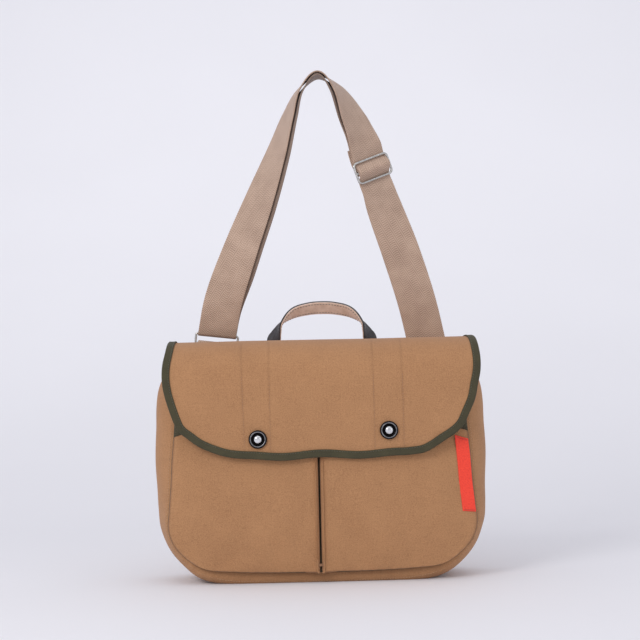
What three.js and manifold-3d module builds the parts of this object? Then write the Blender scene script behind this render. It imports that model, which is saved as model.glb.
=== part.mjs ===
import * as THREE from 'three';
import { mergeVertices } from 'three/addons/utils/BufferGeometryUtils.js';
import Module from 'manifold-3d';

// A canvas game bag standing on its base with the flap closed and the shoulder strap raised.
// Millimetres, +Z up, the front faces -Y, the origin is in the middle of the base.

const wasm = await Module();
wasm.setup();

// Body
const bodyWidth = 366;        // across the side seams of the front
const mouthHeight = 264;      // floor to the edge of the mouth
const gussetDepth = 98;       // front seam to back seam at the base
const frontTaper = 8;         // how far the front leans back at the mouth
const backTaper = 4;
const gussetSwell = 25;       // how far the gusset can swell past its seams
const panelSwell = 3;
const canvasWall = 2;
const clearance = 0.3;

// Pockets
const pocketTop = 178;        // height of the pocket's edge at its side seam
const pocketRise = 18;        // how much higher the edge is in the middle of the pocket
const pocketSwell = 9;
const sideRound = 2.6;        // the belly rises from the side seam and falls to the base
const baseRound = 3.2;        // seam with these powers
const baseBelly = 0.12;       // share of the swell left at the base seam
const topBelly = 0.82;
const slotWidth = 2;          // the pleat slot between the pockets
const slotOffset = -3.5;
const pleatReturn = 5;        // how far the pleat's folded edge turns in
const pleatRadius = 4;
const pleatStack = 4.6;       // the pleat keeps at least this depth down to the base
const foldShare = 0.8;        // of the pleat's depth that its fold can take up

// Flap
const flapOverhang = 7;       // past the front seam on each side
const flapHem = 153;          // height of the hem in the middle
const crownGap = 27;          // crown of the flap above the mouth
const flapSeamDrop = 26;      // the flap's back seam reaches this far below the mouth
const flapAir = 2.2;          // between the flap and the pockets
const lobeDrop = 3;
const lobeCurl = 3;
const bindingWidth = 9.5;
const bindingWall = 0.9;
const foldEase = 0.5;         // between the binding and the flap inside it

// Press studs
const capRadius = 11;
const capHeight = 4.2;
const postRadius = 3;
const socketRadius = 7;
const socketHeight = 1.6;
const studRadius = 6;
const snapLeft = { across: -0.413, above: 21.6 };     // share of half the body, height over the hem
const snapRight = { across: 0.442, above: 29 };

// Shoulder strap and its hardware
const webWidth = 48;
const webWall = 1.8;
const strapShare = 0.71;      // the ends of the strap stand this share of half the body out
const strapSpread = strapShare * bodyWidth / 2;
const strapRise = 320.5;      // ring bar to apex
const strapLean = 21;         // how far the apex stands in front of the ring
const layerGap = 2.2;         // between the two layers on the doubled run
const layerShift = 4;         // the inner layer slips towards the inside of the loop
const wireRadius = 1.5;
const sideGap = 0.8;          // webbing edge to the wire
const ringDrop = 12.6;        // bar to bar
const ringTilt = 7;           // degrees
const tabLength = 44;
const tabWidth = 46;
const tabClosed = 0.5;        // share of its length where its two layers have met
const tabGap = 0.35;
const sliderPlace = 0.692;    // along the strap from the ring
const sliderReach = 13;       // middle bar to outer bar
const sliderSkew = 5;         // degrees
const ringCorner = 2.5;
const sliderCorner = 3;
const ringLift = 4;           // from the crown of the flap to the webbing round the ring
const togetherFrom = 6;       // the layers close up between these distances from the ring
const togetherTo = 45;
const shiftFrom = 10;         // the inner layer slips between these distances from the ring
const shiftTo = 90;
const strapStride = 11;       // between two stations of the strap
const strapFineStride = 2.2;  // the same near the slider
const wrapSteps = 12;
const bightSteps = 44;

// Distances from the slider's middle bar in reaches: where the two layers part, where the outer
// one dips behind the bars, where the slip ends and where the webbing squares up to the bars
const slider = {
  partFrom: 5, partTo: 2.4, dipEnd: 2.4, slipFrom: 9, slipTo: 4, squareFrom: 4, squareTo: 1.3, fine: 2.6,
};

// Handle
const handleWidth = 20;
const handleWall = 3.4;
const handleSpan = 55;        // half the distance between its feet
const handleRise = 40;        // above the crown
const handleFoot = 46;        // sewn length below the crown line
const handleOffset = 5.5;
const handleLean = 14;        // how far the arch stands in front of its feet

// Side label
const labelWidth = 16;
const labelLength = 77;
const labelStart = 0.045;     // share of the pocket's height above the label
const labelWall = 0.9;
const labelInset = 0.9;

// Colours of the finishes
const canvas = { color: 0xaf8460, roughness: 0.9, metalness: 0 };
const lining = { color: 0x45412f, roughness: 0.95, metalness: 0 };
const twillTape = { color: 0x514c3a, roughness: 0.85, metalness: 0 };
const webbing = { color: 0xa6897b, roughness: 0.75, metalness: 0 };
const darkLeather = { color: 0x403d41, roughness: 0.6, metalness: 0 };
const nickel = { color: 0xb9b9bb, roughness: 0.3, metalness: 1 };
const gunmetal = { color: 0x6a6a6e, roughness: 0.32, metalness: 1 };
const orangeTape = { color: 0xf05440, roughness: 0.7, metalness: 0 };

// Half of the seam outline from the mouth down to the middle of the base:
// half and up are shares of half the body's width and of its height, swell is a share of
// the gusset's swell, and square tells how flat the gusset runs between its seams.
const seamRows = [
  { half: 0.942, up: 1.000, swell: 0.36, square: 2.2 },
  { half: 0.945, up: 0.905, swell: 0.90, square: 2.3 },
  { half: 0.951, up: 0.800, swell: 1.10, square: 2.4 },
  { half: 0.962, up: 0.690, swell: 1.06, square: 2.4 },
  { half: 0.978, up: 0.570, swell: 0.94, square: 2.4 },
  { half: 0.989, up: 0.450, swell: 0.82, square: 2.5 },
  { half: 1.003, up: 0.345, swell: 0.68, square: 2.6 },
  { half: 1.012, up: 0.260, swell: 0.52, square: 2.8 },
  { half: 0.978, up: 0.185, swell: 0.46, square: 3.2 },
  { half: 0.885, up: 0.114, swell: 0.50, square: 5 },
  { half: 0.765, up: 0.070, swell: 0.62, square: 9 },
  { half: 0.590, up: 0.057, swell: 0.70, square: 14 },
  { half: 0.400, up: 0.051, swell: 0.70, square: 14 },
  { half: 0.200, up: 0.049, swell: 0.70, square: 14 },
  { half: 0.000, up: 0.049, swell: 0.70, square: 14 },
];
const cornerRow = 10 / 14;    // where the side of the outline ends and its base begins

// Cross sections of the flap from its back seam over the crown to the hem: reach is -1 at the
// back and 1 at the front, rise is 0 at the hem and 1 at the crown, left and right are shares
// of half the flap's width.
const flapRows = [
  { reach: -1.00, rise: 0.62, left: 0.918, right: 0.922 },
  { reach: -0.997, rise: 0.80, left: 0.934, right: 0.944 },
  { reach: -0.93, rise: 0.90, left: 0.950, right: 0.970 },
  { reach: -0.68, rise: 0.972, left: 0.957, right: 0.984 },
  { reach: -0.30, rise: 0.998, left: 0.958, right: 0.991 },
  { reach: 0.10, rise: 1.000, left: 0.957, right: 0.995 },
  { reach: 0.45, rise: 0.978, left: 0.960, right: 0.999 },
  { reach: 0.70, rise: 0.914, left: 0.967, right: 1.004 },
  { reach: 0.86, rise: 0.812, left: 0.982, right: 1.009 },
  { reach: 0.93, rise: 0.700, left: 0.986, right: 1.004 },
  { reach: 0.962, rise: 0.590, left: 0.977, right: 0.985 },
  { reach: 0.98, rise: 0.470, left: 0.954, right: 0.967 },
  { reach: 0.99, rise: 0.342, left: 0.923, right: 0.925 },
  { reach: 0.995, rise: 0.246, left: 0.891, right: 0.891 },
  { reach: 1.00, rise: 0.174, left: 0.826, right: 0.836 },
  { reach: 1.00, rise: 0.116, left: 0.771, right: 0.767 },
  { reach: 1.00, rise: 0.060, left: 0.684, right: 0.705 },
  { reach: 1.00, rise: 0.018, left: 0.589, right: 0.640 },
  { reach: 1.00, rise: 0.000, left: 0.484, right: 0.535 },
];

// Course of the strap from the ring over the apex to its sewn end: across is a share of the
// spread, up a share of the rise, lean a share of the lean forward, and face the angle in
// degrees between the webbing's face and the outward side of the loop (90 looks to the front).
const strapRows = [
  { across: -0.968, up: 0.000, lean: 0.00, face: 90 },
  { across: -0.899, up: 0.130, lean: 0.22, face: 84 },
  { across: -0.723, up: 0.323, lean: 0.45, face: 66 },
  { across: -0.528, up: 0.515, lean: 0.64, face: 50 },
  { across: -0.340, up: 0.708, lean: 0.82, face: 31 },
  { across: -0.225, up: 0.842, lean: 0.93, face: 18 },
  { across: -0.118, up: 0.941, lean: 0.98, face: 6 },
  { across: 0.054, up: 1.000, lean: 1.00, face: 0 },
  { across: 0.242, up: 0.941, lean: 0.98, face: 18 },
  { across: 0.390, up: 0.823, lean: 0.93, face: 42 },
  { across: 0.516, up: 0.705, lean: 0.82, face: 55 },
  { across: 0.648, up: 0.509, lean: 0.64, face: 68 },
  { across: 0.815, up: 0.314, lean: 0.45, face: 84 },
  { across: 0.962, up: 0.118, lean: 0.22, face: 90 },
  { across: 1.046, up: -0.030, lean: 0.10, face: 90 },
  { across: 1.120, up: -0.180, lean: 0.10, face: 90 },
];

// Course of the inner layer where it goes round the slider's middle bar: down is along the
// strap and out is along its face, both shares of the slider's reach.
const bightRows = [
  { down: -3.10, out: -0.140 },
  { down: -2.20, out: -0.200 },
  { down: -1.50, out: -0.335 },
  { down: -1.00, out: -0.385 },
  { down: -0.62, out: -0.275 },
  { down: -0.385, out: -0.060 },
  { down: -0.225, out: 0.085 },
  { down: -0.095, out: 0.195 },
  { down: 0.020, out: 0.216 },
  { down: 0.150, out: 0.156 },
  { down: 0.214, out: 0.010 },
  { down: 0.150, out: -0.160 },
  { down: -0.020, out: -0.250 },
  { down: -0.310, out: -0.360 },
  { down: -0.62, out: -0.520 },
  { down: -1.00, out: -0.590 },
  { down: -1.70, out: -0.560 },
  { down: -2.40, out: -0.470 },
];

// Course of half of the handle from its foot to the middle of the arch: across is a share of
// the span, up a share of the rise, and face the angle of its outer face as on the strap.
const handleRows = [
  { across: 1.090, up: -1.07, lean: 0.00, face: 90 },
  { across: 1.088, up: -0.55, lean: -0.02, face: 88 },
  { across: 1.084, up: 0.00, lean: 0.10, face: 62 },
  { across: 1.045, up: 0.14, lean: 0.20, face: 42 },
  { across: 1.000, up: 0.28, lean: 0.32, face: 26 },
  { across: 0.905, up: 0.52, lean: 0.52, face: 0 },
  { across: 0.620, up: 0.84, lean: 0.80, face: -36 },
  { across: 0.290, up: 0.96, lean: 0.95, face: -45 },
  { across: 0.000, up: 0.985, lean: 1.00, face: -47 },
];

// Soft folds pressed into the pockets: across and down are shares of the pocket, length and
// width are shares of its height, lean is in degrees from upright, depth in millimetres.
const pocketFolds = [
  { across: 0.80, down: 0.62, length: 0.34, width: 0.075, lean: 24, depth: -1.7 },
  { across: 0.62, down: 0.72, length: 0.30, width: 0.090, lean: 32, depth: 1.5 },
  { across: 0.34, down: 0.86, length: 0.20, width: 0.080, lean: 48, depth: -1.4 },
  { across: 0.22, down: 0.50, length: 0.30, width: 0.110, lean: -12, depth: 1.2 },
];

const clamp = THREE.MathUtils.clamp;
const lerp = THREE.MathUtils.lerp;
const smooth = THREE.MathUtils.smoothstep;
const radians = THREE.MathUtils.degToRad;

// Smooth value of one column at a place from 0 at the first row to 1 at the last
function read(table, column, place) {
  const last = table.length - 1;
  const spot = clamp(place, 0, 1) * last;
  const index = Math.min(Math.floor(spot), last - 1);
  const part = spot - index;
  const value = (row) => {
    if (row < 0) {
      return 2 * table[0][column] - table[1][column];
    }
    if (row > last) {
      return 2 * table[last][column] - table[last - 1][column];
    }
    return table[row][column];
  };
  const [a, b, c, d] = [value(index - 1), value(index), value(index + 1), value(index + 2)];
  const cubic = 3 * (b - c) + d - a;
  const square = 2 * a - 5 * b + 4 * c - d;
  return b + 0.5 * part * (c - a + part * (square + part * cubic));
}

// Closed solid from points and triangles, turned so that its faces look outwards
function solid(points, triangles) {
  let volume = 0;
  for (const [a, b, c] of triangles) {
    volume += points[a].dot(new THREE.Vector3().crossVectors(points[b], points[c]));
  }
  const facing = volume < 0 ? triangles.map(([a, b, c]) => [a, c, b]) : triangles;
  const geometry = new THREE.BufferGeometry().setFromPoints(points);
  geometry.setIndex(facing.flat());
  return geometry;
}

// Sheet of cloth: face(u, v) is its outer side, and side tells which way its wall lies
function sheet(face, columns, rows, wall, side, finishInner) {
  const step = 1e-3;
  const points = [];
  const width = rows + 1;
  const count = (columns + 1) * width;
  const inner = [];
  for (let i = 0; i <= columns; i += 1) {
    for (let j = 0; j <= rows; j += 1) {
      const u = i / columns;
      const v = j / rows;
      const point = face(u, v);
      const alongU = face(Math.min(u + step, 1), v).sub(face(Math.max(u - step, 0), v));
      const alongV = face(u, Math.min(v + step, 1)).sub(face(u, Math.max(v - step, 0)));
      const normal = alongU.cross(alongV).normalize().multiplyScalar(side);
      const back = point.clone().addScaledVector(normal, -wall);
      points.push(point);
      inner.push(finishInner ? finishInner(back) : back);
    }
  }
  points.push(...inner);
  const triangles = [];
  const quad = (a, b, c, d) => triangles.push([a, b, c], [a, c, d]);
  const at = (i, j) => i * width + j;
  for (let i = 0; i < columns; i += 1) {
    for (let j = 0; j < rows; j += 1) {
      quad(at(i, j), at(i + 1, j), at(i + 1, j + 1), at(i, j + 1));
      quad(count + at(i, j), count + at(i, j + 1), count + at(i + 1, j + 1), count + at(i + 1, j));
    }
  }
  const rim = (a, b) => quad(b, a, count + a, count + b);
  for (let i = 0; i < columns; i += 1) {
    rim(at(i, 0), at(i + 1, 0));
    rim(at(i + 1, rows), at(i, rows));
  }
  for (let j = 0; j < rows; j += 1) {
    rim(at(columns, j), at(columns, j + 1));
    rim(at(0, j + 1), at(0, j));
  }
  return solid(points, triangles);
}

// Bar swept through stations, each a list of corner points; a ring closes on itself. The
// section's second half is cut along the other diagonal, so opposite faces twist alike
function sweep(stations, closed) {
  const size = stations[0].length;
  const points = stations.flat();
  const triangles = [];
  const turns = closed ? stations.length : stations.length - 1;
  for (let i = 0; i < turns; i += 1) {
    const here = i * size;
    const next = ((i + 1) % stations.length) * size;
    for (let k = 0; k < size; k += 1) {
      const m = (k + 1) % size;
      if (k < size / 2) {
        triangles.push([here + k, here + m, next + m], [here + k, next + m, next + k]);
      } else {
        triangles.push([here + k, here + m, next + k], [here + m, next + m, next + k]);
      }
    }
  }
  if (!closed) {
    const end = (stations.length - 1) * size;
    const cap = THREE.ShapeUtils.triangulateShape(flatten(stations[0]), []);
    for (const [a, b, c] of cap) {
      triangles.push([a, c, b], [end + a, end + b, end + c]);
    }
  }
  return solid(points, triangles);
}

// A planar ring of points as flat coordinates, for cutting its end cap into triangles
function flatten(ring) {
  const across = ring[1].clone().sub(ring[0]).normalize();
  const other = ring[ring.length - 1].clone().sub(ring[0]);
  const up = other.sub(across.clone().multiplyScalar(other.dot(across))).normalize();
  return ring.map((point) => {
    const offset = point.clone().sub(ring[0]);
    return new THREE.Vector2(offset.dot(across), offset.dot(up));
  });
}

// Flat band through places { point, across }: across is the direction of its width
function band(places, width, wall) {
  const stations = places.map((place, index) => {
    const before = places[Math.max(index - 1, 0)].point;
    const after = places[Math.min(index + 1, places.length - 1)].point;
    const along = after.clone().sub(before).normalize();
    const out = along.clone().cross(place.across).normalize();
    const corner = (a, b) => place.point.clone()
      .addScaledVector(place.across, a * width / 2)
      .addScaledVector(out, b * wall / 2);
    return [corner(-1, -1), corner(1, -1), corner(1, 1), corner(-1, 1)];
  });
  return sweep(stations, false);
}

// Closed wire loop through points lying in a plane with the given normal
function wireLoop(points, normal, sides) {
  const stations = points.map((point, index) => {
    const before = points[(index + points.length - 1) % points.length];
    const after = points[(index + 1) % points.length];
    const along = after.clone().sub(before).normalize();
    const out = along.clone().cross(normal).normalize();
    const ring = [];
    for (let k = 0; k < sides; k += 1) {
      const angle = 2 * Math.PI * (k + 0.5) / sides;
      ring.push(point.clone()
        .addScaledVector(out, wireRadius * Math.cos(angle))
        .addScaledVector(normal, wireRadius * Math.sin(angle)));
    }
    return ring;
  });
  return sweep(stations, true);
}

// Points of a rectangle with round corners about a centre, in the plane of two directions
function roundLoop(centre, across, down, halfWidth, halfHeight, radius, cornerSteps) {
  const points = [];
  for (let corner = 0; corner < 4; corner += 1) {
    const signX = corner === 0 || corner === 3 ? 1 : -1;
    const signY = corner < 2 ? 1 : -1;
    for (let k = 0; k <= cornerSteps; k += 1) {
      const angle = (corner + k / cornerSteps) * Math.PI / 2;
      points.push(centre.clone()
        .addScaledVector(across, signX * (halfWidth - radius) + radius * Math.cos(angle))
        .addScaledVector(down, signY * (halfHeight - radius) + radius * Math.sin(angle)));
    }
  }
  return points;
}

// Booleans
function toManifold(geometry) {
  const bare = geometry.clone();
  bare.deleteAttribute('normal');
  bare.deleteAttribute('uv');
  const merged = mergeVertices(bare, 1e-4);
  const mesh = new wasm.Mesh({
    numProp: 3,
    vertProperties: new Float32Array(merged.attributes.position.array),
    triVerts: new Uint32Array(merged.index.array),
  });
  return new wasm.Manifold(mesh);
}

function fromManifold(manifold) {
  const mesh = manifold.getMesh();
  const geometry = new THREE.BufferGeometry();
  geometry.setAttribute('position', new THREE.BufferAttribute(mesh.vertProperties, 3));
  geometry.setIndex(new THREE.BufferAttribute(mesh.triVerts, 1));
  return geometry;
}

// Seam outline and the body's depth
const frontSeamY = (z) => -gussetDepth / 2 + frontTaper * smooth(z / mouthHeight, 0.35, 1.05);
const backSeamY = (z) => gussetDepth / 2 - backTaper * smooth(z / mouthHeight, 0.2, 1);
const outlineX = (place) => read(seamRows, 'half', place) * bodyWidth / 2;
const outlineZ = (place) => read(seamRows, 'up', place) * mouthHeight;

function outlineAt(u) {
  const place = 1 - Math.abs(2 * u - 1);
  const side = u < 0.5 ? -1 : 1;
  return new THREE.Vector2(side * outlineX(place), outlineZ(place));
}

// Outer face of the gusset: u runs down one side, along the base and up the other, v to the back
function gussetFace(u, evenV) {
  const step = 1e-3;
  const v = (1 - Math.cos(Math.PI * evenV)) / 2;
  const here = outlineAt(u);
  const along = outlineAt(Math.min(u + step, 1)).sub(outlineAt(Math.max(u - step, 0))).normalize();
  const place = 1 - Math.abs(2 * u - 1);
  const square = read(seamRows, 'square', place);
  const belly = 1 - Math.abs(2 * v - 1) ** square;
  const swell = read(seamRows, 'swell', place) * gussetSwell * belly;
  const x = here.x + along.y * swell;
  const z = Math.max(here.y - along.x * swell, 0);
  return new THREE.Vector3(x, lerp(frontSeamY(here.y), backSeamY(here.y), v), z);
}

function gusset() {
  const aboveBase = (point) => point.setZ(Math.max(point.z, canvasWall));
  return sheet(gussetFace, 44, 7, canvasWall, -1, aboveBase);
}

// Where a flat panel's grid lies: u from -1 to 1 across, v from the mouth to the base
function panelSpot(u, v) {
  const place = v * cornerRow;
  const basePlace = 1 - Math.abs(u) * (1 - cornerRow);
  const cornerX = outlineX(cornerRow);
  const share = v ** 3;
  const x = u * outlineX(place) + (Math.sign(u) * outlineX(basePlace) - u * cornerX) * share;
  const z = outlineZ(place) + (outlineZ(basePlace) - outlineZ(cornerRow)) * share;
  return new THREE.Vector2(x, z);
}

// Outer faces of the panels
const panelBelly = (u, v) => panelSwell * (1 - u * u) * Math.sin(Math.PI * clamp(v, 0, 1));

function frontPanelFace(u, v) {
  const spot = panelSpot(2 * u - 1, v);
  const y = frontSeamY(spot.y) - clearance - canvasWall - panelBelly(2 * u - 1, v);
  return new THREE.Vector3(spot.x, y, spot.y);
}

function backPanelFace(u, v) {
  const spot = panelSpot(2 * u - 1, v);
  const flat = smooth(v, 0.1, 0.35);
  const y = backSeamY(spot.y) + clearance + canvasWall + panelBelly(2 * u - 1, v) * flat;
  return new THREE.Vector3(spot.x, y, spot.y);
}

// Pockets
const pocketLayer = 2 * clearance + 2 * canvasWall;
const foldBulge = (across, down) => {
  let bulge = 0;
  for (const fold of pocketFolds) {
    const lean = radians(fold.lean);
    const x = across - fold.across;
    const z = fold.down - down;
    const along = z * Math.cos(lean) + x * Math.sin(lean);
    const aside = x * Math.cos(lean) - z * Math.sin(lean);
    bulge += fold.depth * Math.exp(-((along / fold.length) ** 2) - (aside / fold.width) ** 2);
  }
  return bulge;
};

// Edge of the pocket: the panel's v at which it starts, for a share across the pocket
function pocketStart(across) {
  const height = pocketTop + pocketRise * Math.sin(Math.PI * clamp(across, 0, 1));
  let low = 0;
  let high = 1;
  for (let k = 0; k < 24; k += 1) {
    const middle = (low + high) / 2;
    if (panelSpot(1, middle).y > height) {
      low = middle;
    } else {
      high = middle;
    }
  }
  return low;
}

// Front of a pocket at a share across from the side seam to the pleat and a share down
function pocketFront(side, across, down) {
  const start = pocketStart(across);
  const v = lerp(start, 1, down);
  const pleatX = slotOffset + side * (slotWidth / 2);
  const pleatU = pleatX / outlineX(v * cornerRow);
  const spot = panelSpot(lerp(side, pleatU, across), v);
  spot.x = lerp(spot.x, pleatX, smooth(across, 0.9, 1));
  const rise = 1 - (1 - clamp(across, 0, 1)) ** sideRound;
  const fall = 1 - down ** baseRound;
  const level = lerp(topBelly, 1, Math.sin(Math.PI * down));
  const stack = pleatStack * smooth(across, 0.82, 1);
  const belly = Math.max(pocketSwell * rise * lerp(baseBelly, 1, fall) * level, stack);
  const edge = smooth(across, 0, 0.15) * smooth(1 - across, 0, 0.1) * smooth(1 - down, 0, 0.12);
  const panelY = frontSeamY(spot.y) - pocketLayer - panelBelly(lerp(side, pleatU, across), v);
  const y = panelY - belly - foldBulge(across, down) * edge;
  return Object.assign(new THREE.Vector3(spot.x, y, spot.y), { panelY });
}

// Face of a pocket: the front up to u = 0.8, then the pleat's fold and its return to the panel
function pocketFace(side) {
  const frontShare = 12 / 15;
  const turnShare = 2 / 15;
  return (u, v) => {
    if (u <= frontShare) {
      const across = u / frontShare;
      const point = pocketFront(side, across, v);
      const x = slotOffset + side * (slotWidth / 2 + pleatRadius);
      if (across > 0.9) {
        point.x = lerp(point.x, x, smooth(across, 0.9, 1));
      }
      return point;
    }
    const edge = pocketFront(side, 1, v);
    const turn = clamp((u - frontShare) / turnShare, 0, 1);
    const back = clamp((u - frontShare - turnShare) / (1 - frontShare - turnShare), 0, 1);
    const depth = edge.panelY - edge.y;
    const radius = Math.min(pleatRadius, depth * foldShare);
    const angle = turn * Math.PI / 2;
    const x = slotOffset + side * (slotWidth / 2 + pleatRadius * (1 - Math.sin(angle)));
    const y = edge.y + radius * (1 - Math.cos(angle)) + back * Math.min(pleatReturn, depth - radius);
    return new THREE.Vector3(x, y, edge.z);
  };
}

// Flap
const crownHeight = mouthHeight + crownGap;
const backSeamHeight = mouthHeight - flapSeamDrop;
const backReach = backSeamY(backSeamHeight) + 2 * clearance + 2 * canvasWall;
const pocketReach = -frontSeamY(flapHem) + pocketLayer + panelSwell + pocketSwell;
const frontReach = pocketReach + flapAir + canvasWall;
const flapHalf = bodyWidth / 2 + flapOverhang;
const flapGridColumns = 20;
const flapGridRows = 27;
const bindingFirstRow = 3;    // the binding starts at the crown's back corner
flapRows[0].rise = (backSeamHeight - flapHem) / (crownHeight - flapHem);

function flapFace(u, v) {
  const across = 2 * u - 1;
  const reach = read(flapRows, 'reach', v);
  const half = read(flapRows, across < 0 ? 'left' : 'right', v) * flapHalf;
  const rise = read(flapRows, 'rise', v);
  const low = reach > 0.5 ? 1 - smooth(rise, 0, 0.42) : 0;
  const x = across * half;
  const alongHem = x / (flapRows[flapRows.length - 1].left * flapHalf);
  const lobe = Math.sin(Math.PI * clamp(alongHem, -1, 1)) ** 2 * low;
  const curl = Math.exp(-(((alongHem + 0.6) / 0.42) ** 2)) * low ** 2;
  const y = reach < 0 ? -reach * backReach : -reach * frontReach;
  const z = lerp(flapHem, crownHeight, rise);
  return new THREE.Vector3(x, y - lobeCurl * curl, z - lobeDrop * lobe);
}

// The flap's parameters and frame at a place on its front, found by halving
function flapSpot(x, z) {
  let low = 0.5;
  let high = 1;
  let u = 0.5;
  for (let k = 0; k < 40; k += 1) {
    const v = (low + high) / 2;
    u = 0.5 + 0.5 * x / (read(flapRows, x < 0 ? 'left' : 'right', v) * flapHalf);
    if (flapFace(u, v).z > z) {
      low = v;
    } else {
      high = v;
    }
  }
  const step = 1e-3;
  const alongU = flapFace(u + step, low).sub(flapFace(u - step, low));
  const alongV = flapFace(u, Math.min(low + step, 1)).sub(flapFace(u, low - step));
  const normal = alongU.cross(alongV).normalize();
  return { point: flapFace(u, low), normal: normal.y > 0 ? normal.negate() : normal };
}

// Binding folded round the flap's free edge, from one end of the crown to the other
function flapBinding() {
  const edge = [];
  for (let k = bindingFirstRow; k < flapGridRows; k += 1) {
    edge.push([0, k / flapGridRows]);
  }
  for (let k = 0; k < flapGridColumns; k += 1) {
    edge.push([k / flapGridColumns, 1]);
  }
  for (let k = flapGridRows; k >= bindingFirstRow; k -= 1) {
    edge.push([1, k / flapGridRows]);
  }
  const step = 2e-3;
  const normals = edge.map(([u, v]) => {
    const alongU = flapFace(Math.min(u + step, 1), v).sub(flapFace(Math.max(u - step, 0), v));
    const alongV = flapFace(u, Math.min(v + step, 1)).sub(flapFace(u, Math.max(v - step, 0)));
    return alongV.cross(alongU).normalize();
  });
  const middles = edge.map(([u, v], k) => flapFace(u, v).addScaledVector(normals[k], -canvasWall / 2));
  const face = canvasWall / 2 + foldEase;
  const skin = face + bindingWall;
  const lip = foldEase + bindingWall;
  const section = [
    [lip - bindingWidth, skin], [lip, skin], [lip, -skin], [lip - bindingWidth, -skin],
    [lip - bindingWidth, -face], [foldEase, -face], [foldEase, face], [lip - bindingWidth, face],
  ];
  const stations = middles.map((middle, k) => {
    const before = middles[Math.max(k - 1, 0)];
    const after = middles[Math.min(k + 1, middles.length - 1)];
    const along = after.clone().sub(before).normalize();
    const out = normals[k].clone().cross(along).normalize().negate();
    const facing = along.clone().cross(out).normalize();
    const sign = Math.sign(facing.dot(normals[k]));
    return section.map(([a, b]) => middle.clone()
      .addScaledVector(out, a).addScaledVector(facing, sign * b));
  });
  return sweep(stations, false);
}

// Turned piece placed with its axis along a normal, on a point
function turned(profile, sides, spot) {
  const points = profile.map(([radius, height]) => new THREE.Vector2(radius, height));
  const geometry = new THREE.LatheGeometry(points, sides);
  const up = new THREE.Vector3(0, 1, 0);
  geometry.applyQuaternion(new THREE.Quaternion().setFromUnitVectors(up, spot.normal));
  geometry.translate(spot.point.x, spot.point.y, spot.point.z);
  geometry.deleteAttribute('normal');
  geometry.deleteAttribute('uv');
  return fromManifold(toManifold(geometry));
}

// Cap in front of the flap and its socket behind, joined by the post through the cloth
function snapCap(spot) {
  const back = -canvasWall - clearance;
  const profile = [
    [0, back - socketHeight],
    [socketRadius, back - socketHeight],
    [socketRadius, back],
    [postRadius, back],
    [postRadius, clearance],
    [capRadius, clearance],
    [capRadius, 0.30 * capHeight],
    [0.86 * capRadius, 0.66 * capHeight],
    [0.74 * capRadius, 0.66 * capHeight],
    [0.62 * capRadius, 0.36 * capHeight],
    [0.50 * capRadius, 0.40 * capHeight],
    [0.42 * capRadius, 0.74 * capHeight],
    [0.22 * capRadius, 0.95 * capHeight],
    [0, capHeight],
  ];
  return turned(profile, 16, spot);
}

// Front of the pocket at a place given by its width and height, found by halving
function pocketDepth(x, z) {
  const side = x < slotOffset ? -1 : 1;
  let low = 0;
  let high = 1;
  let across = 0.5;
  for (let k = 0; k < 30; k += 1) {
    const down = (low + high) / 2;
    for (let m = 0; m < 6; m += 1) {
      const error = pocketFront(side, across, down).x - x;
      across = clamp(across + side * error / (bodyWidth / 2), 0, 0.9);
    }
    if (pocketFront(side, across, down).z > z) {
      low = down;
    } else {
      high = down;
    }
  }
  return pocketFront(side, across, low).y;
}

function snapStud(spot) {
  const seat = canvasWall + 2 * clearance + socketHeight;
  const middle = spot.point.clone().addScaledVector(spot.normal, -seat);
  const room = pocketDepth(middle.x, middle.z) - middle.y;
  const height = Math.max(room - 2.5 * clearance, 0.4);
  const profile = [[0, -seat - height], [studRadius, -seat - height], [studRadius, -seat], [0, -seat]];
  return turned(profile, 12, spot);
}

function flap(spots) {
  let body = toManifold(sheet(flapFace, flapGridColumns, flapGridRows, canvasWall, -1));
  for (const spot of spots) {
    const radius = postRadius + clearance;
    const reach = 2 * canvasWall;
    const hole = turned([[0, -reach], [radius, -reach], [radius, reach], [0, reach]], 12, spot);
    body = body.subtract(toManifold(hole));
  }
  return fromManifold(body);
}

// Strap course: points, its direction, the outward side of the loop and the webbing's frame
const front = new THREE.Vector3(0, -1, 0);
const depthAxis = new THREE.Vector3(0, 1, 0);
const wrapRadius = wireRadius + clearance + webWall / 2;
const ringY = backReach + clearance + webWall / 2 + wrapRadius;
const sewnY = backReach + clearance + webWall / 2;
const ringHeight = crownHeight + wrapRadius + webWall + ringLift;
const strapCurve = new THREE.CatmullRomCurve3(strapRows.map((row, index) => {
  const seat = index > strapRows.length / 2 ? sewnY : ringY;
  const level = index > strapRows.length - 3 ? sewnY : seat - row.lean * strapLean;
  return new THREE.Vector3(row.across * strapSpread, level, ringHeight + row.up * strapRise);
}), false, 'centripetal');
const ringAxis = new THREE.Vector3(Math.cos(radians(ringTilt)), 0, -Math.sin(radians(ringTilt)));
const ringDown = new THREE.Vector3(-Math.sin(radians(ringTilt)), 0, -Math.cos(radians(ringTilt)));

function strapFrame(place) {
  const step = 1e-3;
  const point = strapCurve.getPoint(place);
  const after = strapCurve.getPoint(Math.min(place + step, 1));
  const along = after.sub(strapCurve.getPoint(Math.max(place - step, 0))).normalize();
  const face = radians(read(strapRows, 'face', place));
  const outward = along.clone().cross(depthAxis).normalize();
  const facing = outward.multiplyScalar(Math.cos(face)).addScaledVector(front, Math.sin(face));
  facing.addScaledVector(along, -facing.dot(along)).normalize();
  return { point, along, facing, across: along.clone().cross(facing).normalize() };
}

const sliderFrame = strapFrame(sliderPlace);
const skewAngle = radians(sliderSkew);
const sliderAxis = sliderFrame.across.clone().applyAxisAngle(sliderFrame.facing, skewAngle);
const sliderDown = sliderFrame.along.clone().applyAxisAngle(sliderFrame.facing, skewAngle);

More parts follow.
